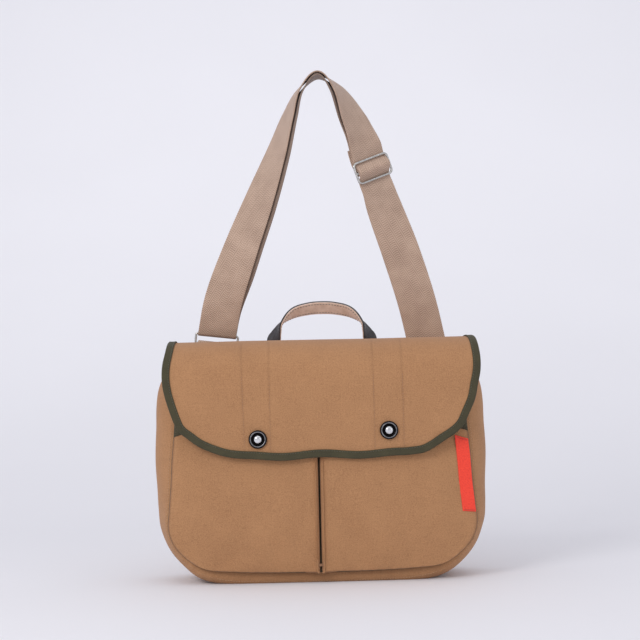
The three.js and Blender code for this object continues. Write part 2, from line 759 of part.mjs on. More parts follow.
// How far a place on the course lies past the slider's middle bar, along the strap
const courseSteps = 400;
const courseLengths = strapCurve.getLengths(courseSteps);
function lengthTo(place) {
  const spot = clamp(place, 0, 1) * courseSteps;
  const index = Math.min(Math.floor(spot), courseSteps - 1);
  return lerp(courseLengths[index], courseLengths[index + 1], spot - index);
}
const belowSlider = (place) => lengthTo(place) - lengthTo(sliderPlace);
const layerRise = (layerGap + webWall) / 2;

// Place on the course at a length past the slider's middle bar, found by halving
function placeBelow(down) {
  let low = 0;
  let high = 1;
  for (let k = 0; k < 30; k += 1) {
    const middle = (low + high) / 2;
    if (belowSlider(middle) < down) {
      low = middle;
    } else {
      high = middle;
    }
  }
  return low;
}

// Outer layer's height over the course: it runs behind the outer bars and over the middle one
function threading(down) {
  const over = wrapRadius + webWall + 2 * clearance;
  const under = -wrapRadius - clearance / 3;
  const far = Math.abs(down);
  if (far < sliderReach) {
    return (over + under) / 2 + (over - under) / 2 * Math.cos(Math.PI * far / sliderReach);
  }
  return under * (1 - smooth(far, sliderReach, slider.dipEnd * sliderReach));
}

// Direction of the webbing's width: along the ring's bar, then the frame's, then the slider's
function widthAt(frame, fromRing, down) {
  const square = 1 - smooth(Math.abs(down) / sliderReach, slider.squareTo, slider.squareFrom);
  return frame.across.clone()
    .lerp(ringAxis, 1 - smooth(fromRing, togetherFrom, togetherTo))
    .lerp(sliderAxis, square).normalize();
}

function outerLayer(place) {
  const frame = strapFrame(place);
  const fromRing = frame.point.distanceTo(strapCurve.getPoint(0));
  const down = belowSlider(place);
  const doubled = layerRise * (1 - smooth(down / sliderReach, -slider.partFrom, -slider.partTo));
  const rise = lerp(wrapRadius, doubled, smooth(fromRing, togetherFrom, togetherTo)) + threading(down);
  const across = widthAt(frame, fromRing, down);
  return { point: frame.point.addScaledVector(frame.facing, rise), across };
}

function innerLayer(place) {
  const frame = strapFrame(place);
  const fromRing = frame.point.distanceTo(strapCurve.getPoint(0));
  const down = belowSlider(place);
  const rise = lerp(-wrapRadius, -layerRise, smooth(fromRing, togetherFrom, togetherTo));
  const slipped = 1 - smooth(down / sliderReach, -slider.slipFrom, -slider.slipTo);
  const shift = layerShift * smooth(fromRing, shiftFrom, shiftTo) * slipped;
  const across = widthAt(frame, fromRing, down);
  const point = frame.point.addScaledVector(frame.facing, rise).addScaledVector(frame.across, shift);
  return { point, across };
}

// Places along the course, closer together near the slider and the ring
function coursePlaces(from, to) {
  const places = [];
  let place = from;
  const way = Math.sign(to - from);
  while ((to - place) * way > 0) {
    places.push(place);
    const here = strapCurve.getPoint(place);
    const fine = Math.abs(belowSlider(place)) < slider.fine * sliderReach;
    const length = fine ? strapFineStride : strapStride;
    let step = 1e-3;
    while (here.distanceTo(strapCurve.getPoint(clamp(place + way * step, 0, 1))) < length
      && (to - place - way * step) * way > 0) {
      step += 5e-4;
    }
    place += way * step;
  }
  places.push(to);
  return places;
}

function shoulderStrap() {
  const outer = coursePlaces(1, 0).map(outerLayer);
  const ring = strapCurve.getPoint(0);
  const wrap = [];
  for (let k = 1; k < wrapSteps; k += 1) {
    const angle = Math.PI * k / wrapSteps;
    wrap.push({
      point: ring.clone()
        .addScaledVector(front, wrapRadius * Math.cos(angle))
        .addScaledVector(ringDown, wrapRadius * Math.sin(angle)),
      across: ringAxis.clone(),
    });
  }
  const bightCurve = new THREE.CatmullRomCurve3(
    bightRows.map((row) => new THREE.Vector3(row.down, row.out, 0)),
    false,
    'centripetal',
  );
  const bight = [];
  for (let k = 0; k <= bightSteps; k += 1) {
    const spot = bightCurve.getPoint(k / bightSteps).multiplyScalar(sliderReach);
    const frame = strapFrame(placeBelow(spot.x));
    const across = widthAt(frame, Infinity, spot.x);
    bight.push({ point: frame.point.addScaledVector(frame.facing, spot.y), across });
  }
  const join = bightRows[0].down * sliderReach - strapStride;
  const inner = coursePlaces(0, placeBelow(join)).map(innerLayer);
  const course = [...outer, ...wrap, ...inner, ...bight];
  return band(course, webWidth, webWall);
}

function strapRing() {
  const centre = strapCurve.getPoint(0).addScaledVector(ringDown, ringDrop / 2);
  const half = webWidth / 2 + sideGap + wireRadius;
  const loop = roundLoop(centre, ringAxis, ringDown, half, ringDrop / 2, ringCorner, 3);
  return wireLoop(loop, depthAxis, 8);
}

function strapSlider() {
  const half = webWidth / 2 + sideGap + wireRadius;
  const { point, facing } = sliderFrame;
  const loop = roundLoop(point, sliderAxis, sliderDown, half, sliderReach, sliderCorner, 3);
  const frame = toManifold(wireLoop(loop, facing, 8));
  const bar = new THREE.CylinderGeometry(wireRadius, wireRadius, 2 * half, 8);
  bar.applyQuaternion(new THREE.Quaternion().setFromUnitVectors(depthAxis, sliderAxis));
  bar.translate(point.x, point.y, point.z);
  return fromManifold(frame.add(toManifold(bar)));
}

// Tab folded over the ring's lower bar, both layers sewn down on the back
function ringTab() {
  const bar = strapCurve.getPoint(0).addScaledVector(ringDown, ringDrop);
  const places = [];
  const legSteps = 5;
  const foldSteps = 8;
  const legAt = (side, share) => {
    const closed = smooth(share, 0, tabClosed);
    const y = side > 0 ? -wrapRadius : lerp(wrapRadius, tabGap - wrapRadius + webWall, closed);
    return bar.clone().addScaledVector(ringDown, share * tabLength)
      .addScaledVector(depthAxis, y);
  };
  for (let k = legSteps; k >= 0; k -= 1) {
    places.push({ point: legAt(1, k / legSteps), across: ringAxis });
  }
  for (let k = 1; k < foldSteps; k += 1) {
    const angle = Math.PI * k / foldSteps;
    places.push({
      point: bar.clone()
        .addScaledVector(depthAxis, -wrapRadius * Math.cos(angle))
        .addScaledVector(ringDown, -wrapRadius * Math.sin(angle)),
      across: ringAxis,
    });
  }
  for (let k = 0; k <= legSteps; k += 1) {
    places.push({ point: legAt(-1, k / legSteps), across: ringAxis });
  }
  return band(places, tabWidth, webWall);
}

// Handle: both halves of its course, mirrored about its middle
function carryHandle() {
  const footY = backReach + clearance + handleWall / 2;
  const rows = [
    ...handleRows.map((row) => ({ ...row, across: -row.across })),
    ...handleRows.slice(0, -1).reverse(),
  ];
  const curve = new THREE.CatmullRomCurve3(rows.map((row) => new THREE.Vector3(
    handleOffset + row.across * handleSpan,
    footY - row.lean * handleLean,
    crownHeight + (row.up < 0 ? row.up * handleFoot : row.up * handleRise),
  )), false, 'centripetal');
  const steps = 44;
  const step = 1e-3;
  const places = [];
  for (let k = 0; k <= steps; k += 1) {
    const place = k / steps;
    const after = curve.getPoint(Math.min(place + step, 1));
    const along = after.sub(curve.getPoint(Math.max(place - step, 0))).normalize();
    const face = radians(read(rows, 'face', place));
    const outward = along.clone().cross(depthAxis).normalize();
    const facing = outward.multiplyScalar(Math.cos(face)).addScaledVector(front, Math.sin(face));
    facing.addScaledVector(along, -facing.dot(along)).normalize();
    places.push({ point: curve.getPoint(place), across: along.clone().cross(facing).normalize() });
  }
  return band(places, handleWidth, handleWall);
}

// Ribbon label lying on the right pocket, along its side seam
function sideLabel() {
  const columns = 3;
  const rows = 10;
  const inset = labelInset + labelWidth;
  const face = (u, v) => {
    const down = lerp(labelStart, labelStart + labelLength / pocketTop, v);
    const edge = pocketFront(1, 0, down);
    const pocketWidth = edge.x - slotOffset;
    const across = lerp(inset, labelInset, u) / pocketWidth;
    const point = pocketFront(1, across, down);
    point.y -= clearance + labelWall;
    return point;
  };
  return sheet(face, columns, rows, labelWall, -1);
}

const group = new THREE.Group();
function add(name, geometry, finish) {
  const mesh = new THREE.Mesh(geometry, new THREE.MeshStandardMaterial(finish));
  mesh.name = name;
  group.add(mesh);
}

const hemAt = (snap) => flapSpot(snap.across * bodyWidth / 2, flapHem + snap.above);
const spots = { left: hemAt(snapLeft), right: hemAt(snapRight) };

add('back_panel', sheet(backPanelFace, 10, 13, canvasWall, 1), canvas);
add('gusset', gusset(), canvas);
add('front_panel', sheet(frontPanelFace, 10, 13, canvasWall, -1), lining);
add('pocket_left', sheet(pocketFace(-1), 15, 10, canvasWall, -1), canvas);
add('pocket_right', sheet(pocketFace(1), 15, 10, canvasWall, 1), canvas);
add('flap', flap([spots.left, spots.right]), canvas);
add('flap_binding', flapBinding(), twillTape);
for (const side of ['left', 'right']) {
  add(`snap_cap_${side}`, snapCap(spots[side]), gunmetal);
  add(`snap_stud_${side}`, snapStud(spots[side]), nickel);
}
add('handle', carryHandle(), darkLeather);
add('shoulder_strap', shoulderStrap(), webbing);
add('strap_slider', strapSlider(), nickel);
add('strap_ring', strapRing(), nickel);
add('ring_tab', ringTab(), webbing);
add('side_label', sideLabel(), orangeTape);

export default group;
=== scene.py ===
import math
import bmesh
import bpy
import numpy as np
from mathutils import Matrix, Vector, noise


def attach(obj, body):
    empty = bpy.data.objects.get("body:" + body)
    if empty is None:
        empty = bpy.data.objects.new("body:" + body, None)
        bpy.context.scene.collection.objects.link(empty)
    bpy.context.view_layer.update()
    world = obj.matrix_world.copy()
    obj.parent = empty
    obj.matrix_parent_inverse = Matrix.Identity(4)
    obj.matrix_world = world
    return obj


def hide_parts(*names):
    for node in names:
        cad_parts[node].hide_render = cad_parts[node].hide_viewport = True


# Canvas game bag with a doubled webbing strap. Shapes are worked out in millimetres and
# written to the meshes in metres. +Z is up and the front faces -Y.

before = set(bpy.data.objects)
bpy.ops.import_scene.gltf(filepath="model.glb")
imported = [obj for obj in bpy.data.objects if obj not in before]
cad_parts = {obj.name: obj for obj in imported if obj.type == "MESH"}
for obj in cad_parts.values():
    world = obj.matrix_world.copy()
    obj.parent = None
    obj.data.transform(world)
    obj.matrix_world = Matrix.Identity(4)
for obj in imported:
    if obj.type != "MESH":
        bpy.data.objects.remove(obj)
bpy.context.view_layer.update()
mm = 0.001


def spline(values, place):
    values = np.asarray(values, float)
    last = len(values) - 1
    spot = np.clip(place, 0, 1) * last
    index = np.minimum(np.floor(spot).astype(int), last - 1)
    part = spot - index
    padded = np.concatenate([[2 * values[0] - values[1]], values, [2 * values[-1] - values[-2]]])
    a, b, c, d = (padded[index + k] for k in range(4))
    return b + 0.5 * part * (c - a + part * (2 * a - 5 * b + 4 * c - d + part * (3 * (b - c) + d - a)))


def smooth(value, low, high):
    part = np.clip((value - low) / (high - low), 0, 1)
    return part * part * (3 - 2 * part)


def lerp(a, b, part):
    return a + (b - a) * part


def unit(vectors):
    return vectors / np.maximum(np.linalg.norm(vectors, axis=-1, keepdims=True), 1e-12)


def points3(x, y, z):
    return np.stack(np.broadcast_arrays(x, y, z), axis=-1).astype(float)


def throughPoints(knots, places):
    # one smooth curve through the knots, evenly numbered, with chord-rooted spacing
    knots = np.asarray(knots, float)
    ends = [2 * knots[0] - knots[1]], [2 * knots[-1] - knots[-2]]
    padded = np.concatenate([ends[0], knots, ends[1]])
    spot = np.clip(np.atleast_1d(places), 0, 1) * (len(knots) - 1)
    index = np.minimum(np.floor(spot).astype(int), len(knots) - 2)
    part = (spot - index)[:, None]
    p0, p1, p2, p3 = (padded[index + k] for k in range(4))
    d0, d1, d2 = (np.sum((b - a) ** 2, axis=1, keepdims=True) ** 0.25
                  for a, b in ((p0, p1), (p1, p2), (p2, p3)))
    start = ((p1 - p0) / d0 - (p2 - p0) / (d0 + d1) + (p2 - p1) / d1) * d1
    stop = ((p2 - p1) / d1 - (p3 - p1) / (d1 + d2) + (p3 - p2) / d2) * d1
    square = -3 * p1 + 3 * p2 - 2 * start - stop
    cube = 2 * p1 - 2 * p2 + start + stop
    return p1 + part * (start + part * (square + part * cube))


def normalsOf(face, u, v, side):
    step = 1e-3
    alongU = face(np.minimum(u + step, 1), v) - face(np.maximum(u - step, 0), v)
    alongV = face(u, np.minimum(v + step, 1)) - face(u, np.maximum(v - step, 0))
    return side * unit(np.cross(alongU, alongV))


def softNoise(points, size, seed):
    # gentle swell of the cloth, from -1 to 1, the same at every run
    flat = points.reshape(-1, 3) / size + seed
    values = [noise.noise(Vector(p)) for p in flat]
    return np.array(values).reshape(points.shape[:-1])


def makeMesh(name, points, faces, loopUv=None, vertexUv=None, wearAndShade=None):
    mesh = bpy.data.meshes.new(name)
    mesh.from_pydata((np.asarray(points) * mm).tolist(), [], faces)
    layer = mesh.uv_layers.new(name="clothMap")
    if vertexUv is not None:
        index = np.empty(len(mesh.loops), np.int32)
        mesh.loops.foreach_get("vertex_index", index)
        loopUv = np.asarray(vertexUv)[index]
    if loopUv is not None:
        layer.data.foreach_set("uv", (np.asarray(loopUv, np.float32) * mm).ravel())
    # one mask per point for soiled marks and for painted shade
    if wearAndShade is not None:
        attribute = mesh.attributes.new("wearAndShade", "FLOAT", "POINT")
        attribute.data.foreach_set("value", np.asarray(wearAndShade, np.float32))
    build = bmesh.new()
    build.from_mesh(mesh)
    bmesh.ops.recalc_face_normals(build, faces=build.faces)
    build.to_mesh(mesh)
    build.free()
    mesh.polygons.foreach_set("use_smooth", [True] * len(mesh.polygons))
    piece = bpy.data.objects.new(name, mesh)
    bpy.context.scene.collection.objects.link(piece)
    return piece


def dress(piece, material, slot, *nodes):
    piece.data.materials.append(material)
    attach(piece, "root")
    if nodes:
        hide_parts(*nodes)
    return piece


def gridFaces(countU, countV, first=0, flip=False):
    faces = []
    for i in range(countU - 1):
        for j in range(countV - 1):
            a = first + i * countV + j
            quad = [a, a + countV, a + countV + 1, a + 1]
            faces.append(quad[::-1] if flip else quad)
    return faces


def sheetPiece(name, face, u, v, wall, side, relief=None, wearAndShade=None, finishInner=None):
    # cloth with its wall behind its outer face and a rounded cut edge all round
    gridU, gridV = np.meshgrid(u, v, indexing="ij")
    outer = face(gridU, gridV)
    normals = normalsOf(face, gridU, gridV, side)
    if relief is not None:
        outer = outer + normals * relief(gridU, gridV, outer)[..., None]
    inner = outer - normals * wall
    if finishInner:
        inner = finishInner(inner)
    countU, countV = gridU.shape
    stepU = np.linalg.norm(np.diff(outer, axis=0), axis=-1).mean(axis=1)
    stepV = np.linalg.norm(np.diff(outer, axis=1), axis=-1).mean(axis=0)
    lengthU = np.concatenate([[0], np.cumsum(stepU)])
    lengthV = np.concatenate([[0], np.cumsum(stepV)])
    flatUv = np.stack(np.meshgrid(lengthU, lengthV, indexing="ij"), axis=-1)
    ring = [(i, 0) for i in range(countU)] + [(countU - 1, j) for j in range(1, countV)]
    ring += [(i, countV - 1) for i in range(countU - 2, -1, -1)]
    ring += [(0, j) for j in range(countV - 2, 0, -1)]
    rim = []
    for i, j in ring:
        near = (min(max(i, 1), countU - 2), min(max(j, 1), countV - 2))
        middle = (outer[i, j] + inner[i, j]) / 2
        away = middle - (outer[near] + inner[near]) / 2
        away -= normals[i, j] * np.dot(away, normals[i, j])
        rim.append(middle + away / max(np.linalg.norm(away), 1e-9) * wall * 0.3)
    size = countU * countV
    points = np.concatenate([outer.reshape(-1, 3), inner.reshape(-1, 3), np.array(rim)])
    faces = gridFaces(countU, countV) + gridFaces(countU, countV, size, True)
    flat = [i * countV + j for i, j in ring]
    for k in range(len(ring)):
        m = (k + 1) % len(ring)
        faces.append([flat[m], flat[k], 2 * size + k, 2 * size + m])
        faces.append([2 * size + m, 2 * size + k, size + flat[k], size + flat[m]])
    uv = flatUv.reshape(-1, 2)
    allUv = np.concatenate([uv, uv, uv[flat]])
    if wearAndShade is None:
        marks = np.zeros(size)
    else:
        marks = wearAndShade(gridU, gridV, outer).reshape(-1)
    allWearAndShade = np.concatenate([marks, marks, marks[flat]])
    return makeMesh(name, points, faces, vertexUv=allUv, wearAndShade=allWearAndShade)


def sweepPiece(name, stations, closed=False, capped=True, wearAndShade=0.0):
    # section rings joined one to the next; the map runs round the section and along it
    stations = np.asarray(stations, float)
    count, size = stations.shape[:2]
    gap = np.linalg.norm(np.diff(stations[0], axis=0, append=stations[0][:1]), axis=1)
    around = np.concatenate([[0], np.cumsum(gap)])
    middles = stations.mean(axis=1)
    along = np.concatenate([[0], np.cumsum(np.linalg.norm(np.diff(middles, axis=0), axis=1))])
    if closed:
        along = np.append(along, along[-1] + np.linalg.norm(middles[0] - middles[-1]))
    faces, uv = [], []
    for i in range(count if closed else count - 1):
        here, after = i * size, ((i + 1) % count) * size
        for k in range(size):
            m = (k + 1) % size
            faces.append([here + k, here + m, after + m, after + k])
            uv += [(around[k], along[i]), (around[k + 1], along[i])]
            uv += [(around[k + 1], along[i + 1]), (around[k], along[i + 1])]
    if capped and not closed:
        for start, turn in ((0, -1), ((count - 1) * size, 1)):
            faces.append([start + k for k in range(size)][::turn])
            uv += [(around[k], 0) for k in range(size)][::turn]
    marks = np.repeat(np.broadcast_to(wearAndShade, count), size)
    return makeMesh(name, stations.reshape(-1, 3), faces, loopUv=uv, wearAndShade=marks)


def bandSection(width, wall, steps=10, edge=0.5):
    # flat tape with rounded selvedges, as pairs of across and out
    radius = wall * edge
    flat = [(-width / 2 + radius + (width - 2 * radius) * k / steps) for k in range(steps + 1)]
    side = [math.radians(a) for a in (-60, -30, 0, 30, 60)]
    half = wall / 2
    section = [(x, half) for x in flat]
    section += [(width / 2 - radius + radius * math.cos(a), -half * math.sin(a)) for a in side]
    section += [(x, -half) for x in flat[::-1]]
    section += [(-width / 2 + radius - radius * math.cos(a), half * math.sin(a)) for a in side]
    return section


def framesOf(middles, across):
    along = np.gradient(middles, axis=0)
    along = unit(along)
    out = unit(np.cross(along, across))
    return along, out


def bandStations(middles, across, section):
    along, out = framesOf(middles, across)
    section = np.asarray(section)
    return (middles[:, None, :] + across[:, None, :] * section[None, :, 0, None]
            + out[:, None, :] * section[None, :, 1, None])


def tubeStations(middles, normal, radius, sides, closed=True):
    if closed:
        along = unit(np.roll(middles, -1, axis=0) - np.roll(middles, 1, axis=0))
    else:
        along = unit(np.gradient(middles, axis=0))
    out = unit(np.cross(along, np.broadcast_to(normal, along.shape)))
    angles = 2 * math.pi * (np.arange(sides) + 0.5) / sides
    return (middles[:, None, :] + radius * (out[:, None, :] * np.cos(angles)[None, :, None]
            + np.asarray(normal)[None, None, :] * np.sin(angles)[None, :, None]))


def spaced(points, normals, stride, start=0.0, stop=None):
    # places along a line at an even stride, with its directions and its normals
    gaps = np.linalg.norm(np.diff(points, axis=0), axis=1)
    run = np.concatenate([[0], np.cumsum(gaps)])
    stop = run[-1] if stop is None else stop
    spots = np.arange(start + stride / 2, stop, stride)
    middle = np.stack([np.interp(spots, run, points[:, k]) for k in range(3)], axis=1)
    facing = unit(np.stack([np.interp(spots, run, normals[:, k]) for k in range(3)], axis=1))
    ahead = np.stack([np.interp(spots + 0.3, run, points[:, k]) for k in range(3)], axis=1)
    behind = np.stack([np.interp(spots - 0.3, run, points[:, k]) for k in range(3)], axis=1)
    return middle, unit(ahead - behind), facing


threadShape = {"rings": [(-0.5, 0.45, -0.9), (-0.3, 0.9, -0.1), (0, 1, 0.25), (0.3, 0.9, -0.1),
                         (0.5, 0.45, -0.9)], "sides": 6}


def stitchPiece(name, lines, length, radius, material, slot):
    # each line is (middles, directions, normals); every stitch is one small arched thread
    middles = np.concatenate([line[0] for line in lines])
    along = np.concatenate([line[1] for line in lines])
    up = np.concatenate([line[2] for line in lines])
    aside = unit(np.cross(up, along))
    angles = 2 * math.pi * np.arange(threadShape["sides"]) / threadShape["sides"]
    shape = []
    for share, wide, lift in threadShape["rings"]:
        for angle in angles:
            shape.append((share * length, wide * radius * math.cos(angle),
                          lift * radius + wide * radius * math.sin(angle)))
    shape = np.array(shape)
    count = len(shape)
    points = (middles[:, None, :] + along[:, None, :] * shape[None, :, 0, None]
              + aside[:, None, :] * shape[None, :, 1, None] + up[:, None, :] * shape[None, :, 2, None])
    sides, rings = threadShape["sides"], len(threadShape["rings"])
    faces = []
    for s in range(len(middles)):
        first = s * count
        for r in range(rings - 1):
            for k in range(sides):
                m = (k + 1) % sides
                a = first + r * sides
                faces.append([a + k, a + m, a + sides + m, a + sides + k])
        faces.append([first + k for k in range(sides)][::-1])
        faces.append([first + count - sides + k for k in range(sides)])
    piece = makeMesh(name, points.reshape(-1, 3), faces)
    return dress(piece, material, slot)


def linear(red, green, blue):
    shares = [c / 255 for c in (red, green, blue)]
    return [c / 12.92 if c < 0.04045 else ((c + 0.055) / 1.055) ** 2.4 for c in shares] + [1]


def startMaterial(name, roughness, metallic=0.0, sheen=0.0, coat=0.0):
    material = bpy.data.materials.new(name)
    material.use_nodes = True
    tree = material.node_tree
    shader = tree.nodes["Principled BSDF"]
    shader.inputs["Roughness"].default_value = roughness
    shader.inputs["Metallic"].default_value = metallic
    shader.inputs["Sheen Weight"].default_value = sheen
    shader.inputs["Sheen Roughness"].default_value = 0.6
    shader.inputs["Coat Weight"].default_value = coat
    return material, tree, shader


def calc(tree, operation, *values):
    node = tree.nodes.new("ShaderNodeMath")
    node.operation = operation
    for socket, value in zip(node.inputs, values):
        if isinstance(value, (int, float)):
            socket.default_value = value
        else:
            tree.links.new(value, socket)
    return node.outputs[0]


def clothPlace(tree):
    node = tree.nodes.new("ShaderNodeUVMap")
    node.uv_map = "clothMap"
    split = tree.nodes.new("ShaderNodeSeparateXYZ")
    tree.links.new(node.outputs[0], split.inputs[0])
    return node.outputs[0], split.outputs[0], split.outputs[1]


def grainOf(tree, vector, scale, detail=3.0, stretch=(1, 1, 1), roughness=0.55):
    # noise of a given scale in 1/m, stretched along the cloth if asked
    mapping = tree.nodes.new("ShaderNodeMapping")
    mapping.inputs["Scale"].default_value = stretch
    tree.links.new(vector, mapping.inputs["Vector"])
    node = tree.nodes.new("ShaderNodeTexNoise")
    node.inputs["Scale"].default_value = scale
    node.inputs["Detail"].default_value = detail
    node.inputs["Roughness"].default_value = roughness
    tree.links.new(mapping.outputs[0], node.inputs["Vector"])
    return node.outputs["Fac"]


def rampOf(tree, value, stops):
    node = tree.nodes.new("ShaderNodeValToRGB")
    ramp = node.color_ramp
    while len(ramp.elements) < len(stops):
        ramp.elements.new(0.5)
    for element, (place, colour) in zip(ramp.elements, stops):
        element.position = place
        element.color = colour
    tree.links.new(value, node.inputs[0])
    return node.outputs[0]


def mixOf(tree, part, a, b, kind="MIX"):
    node = tree.nodes.new("ShaderNodeMix")
    node.data_type = "RGBA"
    node.blend_type = kind
    for socket, value in ((node.inputs[0], part), (node.inputs[6], a), (node.inputs[7], b)):
        if isinstance(value, bpy.types.NodeSocket):
            tree.links.new(value, socket)
        else:
            socket.default_value = value
    return node.outputs[2]


def bumpOf(tree, height, strength, distance, shader, before=None):
    node = tree.nodes.new("ShaderNodeBump")
    node.inputs["Strength"].default_value = strength
    node.inputs["Distance"].default_value = distance
    tree.links.new(height, node.inputs["Height"])
    if before is not None:
        tree.links.new(before, node.inputs["Normal"])
    if shader is not None:
        tree.links.new(node.outputs[0], shader.inputs["Normal"])
    return node.outputs[0]


def wearAndShadeOf(tree):
    node = tree.nodes.new("ShaderNodeAttribute")
    node.attribute_name = "wearAndShade"
    return node.outputs["Fac"]


def bodyPlace(tree):
    return tree.nodes.new("ShaderNodeTexCoord").outputs["Object"]


# the darkest tone here, mixed in by the mask, is soiled at the seams and painted shade in the pocket
# pleats and on the flap's crown
canvasLook = {"light": (192, 143, 99), "mid": (177, 129, 88), "dark": (155, 110, 73),
              "soiledAndShaded": (100, 67, 42), "pitch": 0.95, "sheen": 0.08}


def canvasMaterial(name, look):
    material, tree, shader = startMaterial(name, 0.9, sheen=look["sheen"])
    vector, u, v = clothPlace(tree)
    rate = math.pi / (look["pitch"] * mm)
    warp = calc(tree, "SINE", calc(tree, "MULTIPLY", u, rate))
    weft = calc(tree, "SINE", calc(tree, "MULTIPLY", v, rate))
    check = calc(tree, "MULTIPLY", warp, weft)                 # over one, under one
    thread = calc(tree, "POWER", calc(tree, "ABSOLUTE", check), 0.6)
    slubU = grainOf(tree, vector, 40, 2, (30, 1, 1))           # thick and thin warp ends
    slubV = grainOf(tree, vector, 40, 2, (1, 30, 1))
    slub = calc(tree, "ADD", slubU, slubV)
    mottle = grainOf(tree, bodyPlace(tree), 26, 4)
    fine = grainOf(tree, bodyPlace(tree), 900, 2)
    tone = calc(tree, "ADD", calc(tree, "MULTIPLY", slub, 0.2), calc(tree, "MULTIPLY", mottle, 0.26))
    tone = calc(tree, "ADD", tone, calc(tree, "MULTIPLY", fine, 0.85))
    tone = calc(tree, "ADD", tone, calc(tree, "MULTIPLY", thread, 0.2))
    tone = calc(tree, "SUBTRACT", tone, 0.37)
    colour = rampOf(tree, tone, [(0.25, linear(*look["dark"])), (0.5, linear(*look["mid"])),
                                 (0.8, linear(*look["light"]))])
    # the mask mixes in soiled seams and painted shade, from the pocket pleats and the flap's crown
    colour = mixOf(tree, wearAndShadeOf(tree), colour, linear(*look["soiledAndShaded"]))
    tree.links.new(colour, shader.inputs["Base Color"])
    weave = calc(tree, "ADD", calc(tree, "MULTIPLY", thread, 0.6), calc(tree, "MULTIPLY", slub, 0.5))
    first = bumpOf(tree, weave, 0.5, 0.00022, None)
    bumpOf(tree, mottle, 0.15, 0.0012, shader, first)
    return material


liningLook = {"light": (104, 96, 72), "mid": (78, 72, 53), "dark": (56, 52, 38),
              "soiledAndShaded": (40, 36, 26), "pitch": 0.8, "sheen": 0.05}
tapeLook = {"light": (88, 82, 54), "mid": (65, 60, 38), "dark": (46, 43, 27), "pitch": 1.5}


def tapeMaterial(name, look):
    # olive tape in a steep twill
    material, tree, shader = startMaterial(name, 0.8, sheen=0.02)
    vector, u, v = clothPlace(tree)
    slope = calc(tree, "ADD", calc(tree, "MULTIPLY", u, 1.0), calc(tree, "MULTIPLY", v, 0.8))
    ribs = calc(tree, "SINE", calc(tree, "MULTIPLY", slope, 2 * math.pi / (look["pitch"] * mm)))
    ribs = calc(tree, "MULTIPLY_ADD", ribs, 0.5, 0.5)
    grain = grainOf(tree, vector, 700, 3)
    drift = grainOf(tree, bodyPlace(tree), 60, 3)
    tone = calc(tree, "ADD", calc(tree, "MULTIPLY", ribs, 0.35), calc(tree, "MULTIPLY", grain, 0.35))
    tone = calc(tree, "ADD", tone, calc(tree, "MULTIPLY", drift, 0.35))
    colour = rampOf(tree, tone, [(0.25, linear(*look["dark"])), (0.52, linear(*look["mid"])),
                                 (0.85, linear(*look["light"]))])
    colour = mixOf(tree, wearAndShadeOf(tree), colour, linear(*look["light"]))
    tree.links.new(colour, shader.inputs["Base Color"])
    bumpOf(tree, calc(tree, "ADD", ribs, calc(tree, "MULTIPLY", grain, 0.6)), 0.7, 0.0002, shader)
    return material


# the fourth tone here, mixed in by the mask, is painted shade for the strap's inner layer
webLook = {"light": (214, 185, 163), "mid": (184, 153, 131), "dark": (116, 90, 74),
           "paintedShade": (62, 47, 41), "ribPitch": 2.7, "diamond": 5.4}


def webMaterial(name, look):
    # webbing woven in small zigzags across its width
    material, tree, shader = startMaterial(name, 0.72, sheen=0.18)
    vector, u, v = clothPlace(tree)
    fold = calc(tree, "PINGPONG", u, look["diamond"] * mm)
    slope = calc(tree, "ADD", v, fold)
    ribs = calc(tree, "SINE", calc(tree, "MULTIPLY", slope, 2 * math.pi / (look["ribPitch"] * mm)))
    ends = calc(tree, "SINE", calc(tree, "MULTIPLY", u, 2 * math.pi / (1.1 * mm)))
    ribs = calc(tree, "MULTIPLY_ADD", ribs, 0.5, 0.5)
    ends = calc(tree, "MULTIPLY_ADD", ends, 0.5, 0.5)
    grain = grainOf(tree, vector, 900, 2)
    drift = grainOf(tree, bodyPlace(tree), 45, 3)
    tone = calc(tree, "ADD", calc(tree, "MULTIPLY", ribs, 0.42), calc(tree, "MULTIPLY", ends, 0.12))
    tone = calc(tree, "ADD", tone, calc(tree, "MULTIPLY", grain, 0.25))
    tone = calc(tree, "ADD", tone, calc(tree, "MULTIPLY", drift, 0.3))
    colour = rampOf(tree, tone, [(0.22, linear(*look["dark"])), (0.5, linear(*look["mid"])),
                                 (0.85, linear(*look["light"]))])
    # painted shade: where the mask is set, on the strap's inner layer, the colour turns to the shaded tone
    colour = mixOf(tree, wearAndShadeOf(tree), colour, linear(*look["paintedShade"]))
    tree.links.new(colour, shader.inputs["Base Color"])
    height = calc(tree, "ADD", ribs, calc(tree, "MULTIPLY", ends, 0.5))
    bumpOf(tree, height, 0.8, 0.00028, shader)
    return material


hideLook = {"light": (92, 89, 94), "mid": (66, 63, 68), "dark": (42, 40, 43)}
fleshLook = {"light": (252, 232, 214), "mid": (243, 217, 199), "dark": (214, 184, 162)}


def leatherMaterial(name, look, roughness, grainSize):
    material, tree, shader = startMaterial(name, roughness, sheen=0.05, coat=0.0)
    place = bodyPlace(tree)
    cells = tree.nodes.new("ShaderNodeTexVoronoi")
    cells.feature = "DISTANCE_TO_EDGE"
    cells.inputs["Scale"].default_value = grainSize
    tree.links.new(place, cells.inputs["Vector"])
    crease = calc(tree, "MINIMUM", calc(tree, "MULTIPLY", cells.outputs["Distance"], 4), 1)
    rub = grainOf(tree, place, 160, 4)
    tone = calc(tree, "ADD", calc(tree, "MULTIPLY", crease, 0.3), calc(tree, "MULTIPLY", rub, 0.7))
    colour = rampOf(tree, tone, [(0.3, linear(*look["dark"])), (0.58, linear(*look["mid"])),
                                 (0.9, linear(*look["light"]))])
    tree.links.new(colour, shader.inputs["Base Color"])
    tree.links.new(calc(tree, "MULTIPLY_ADD", rub, -0.25, roughness + 0.12), shader.inputs["Roughness"])
    bumpOf(tree, crease, 0.5, 0.00025, shader)
    return material


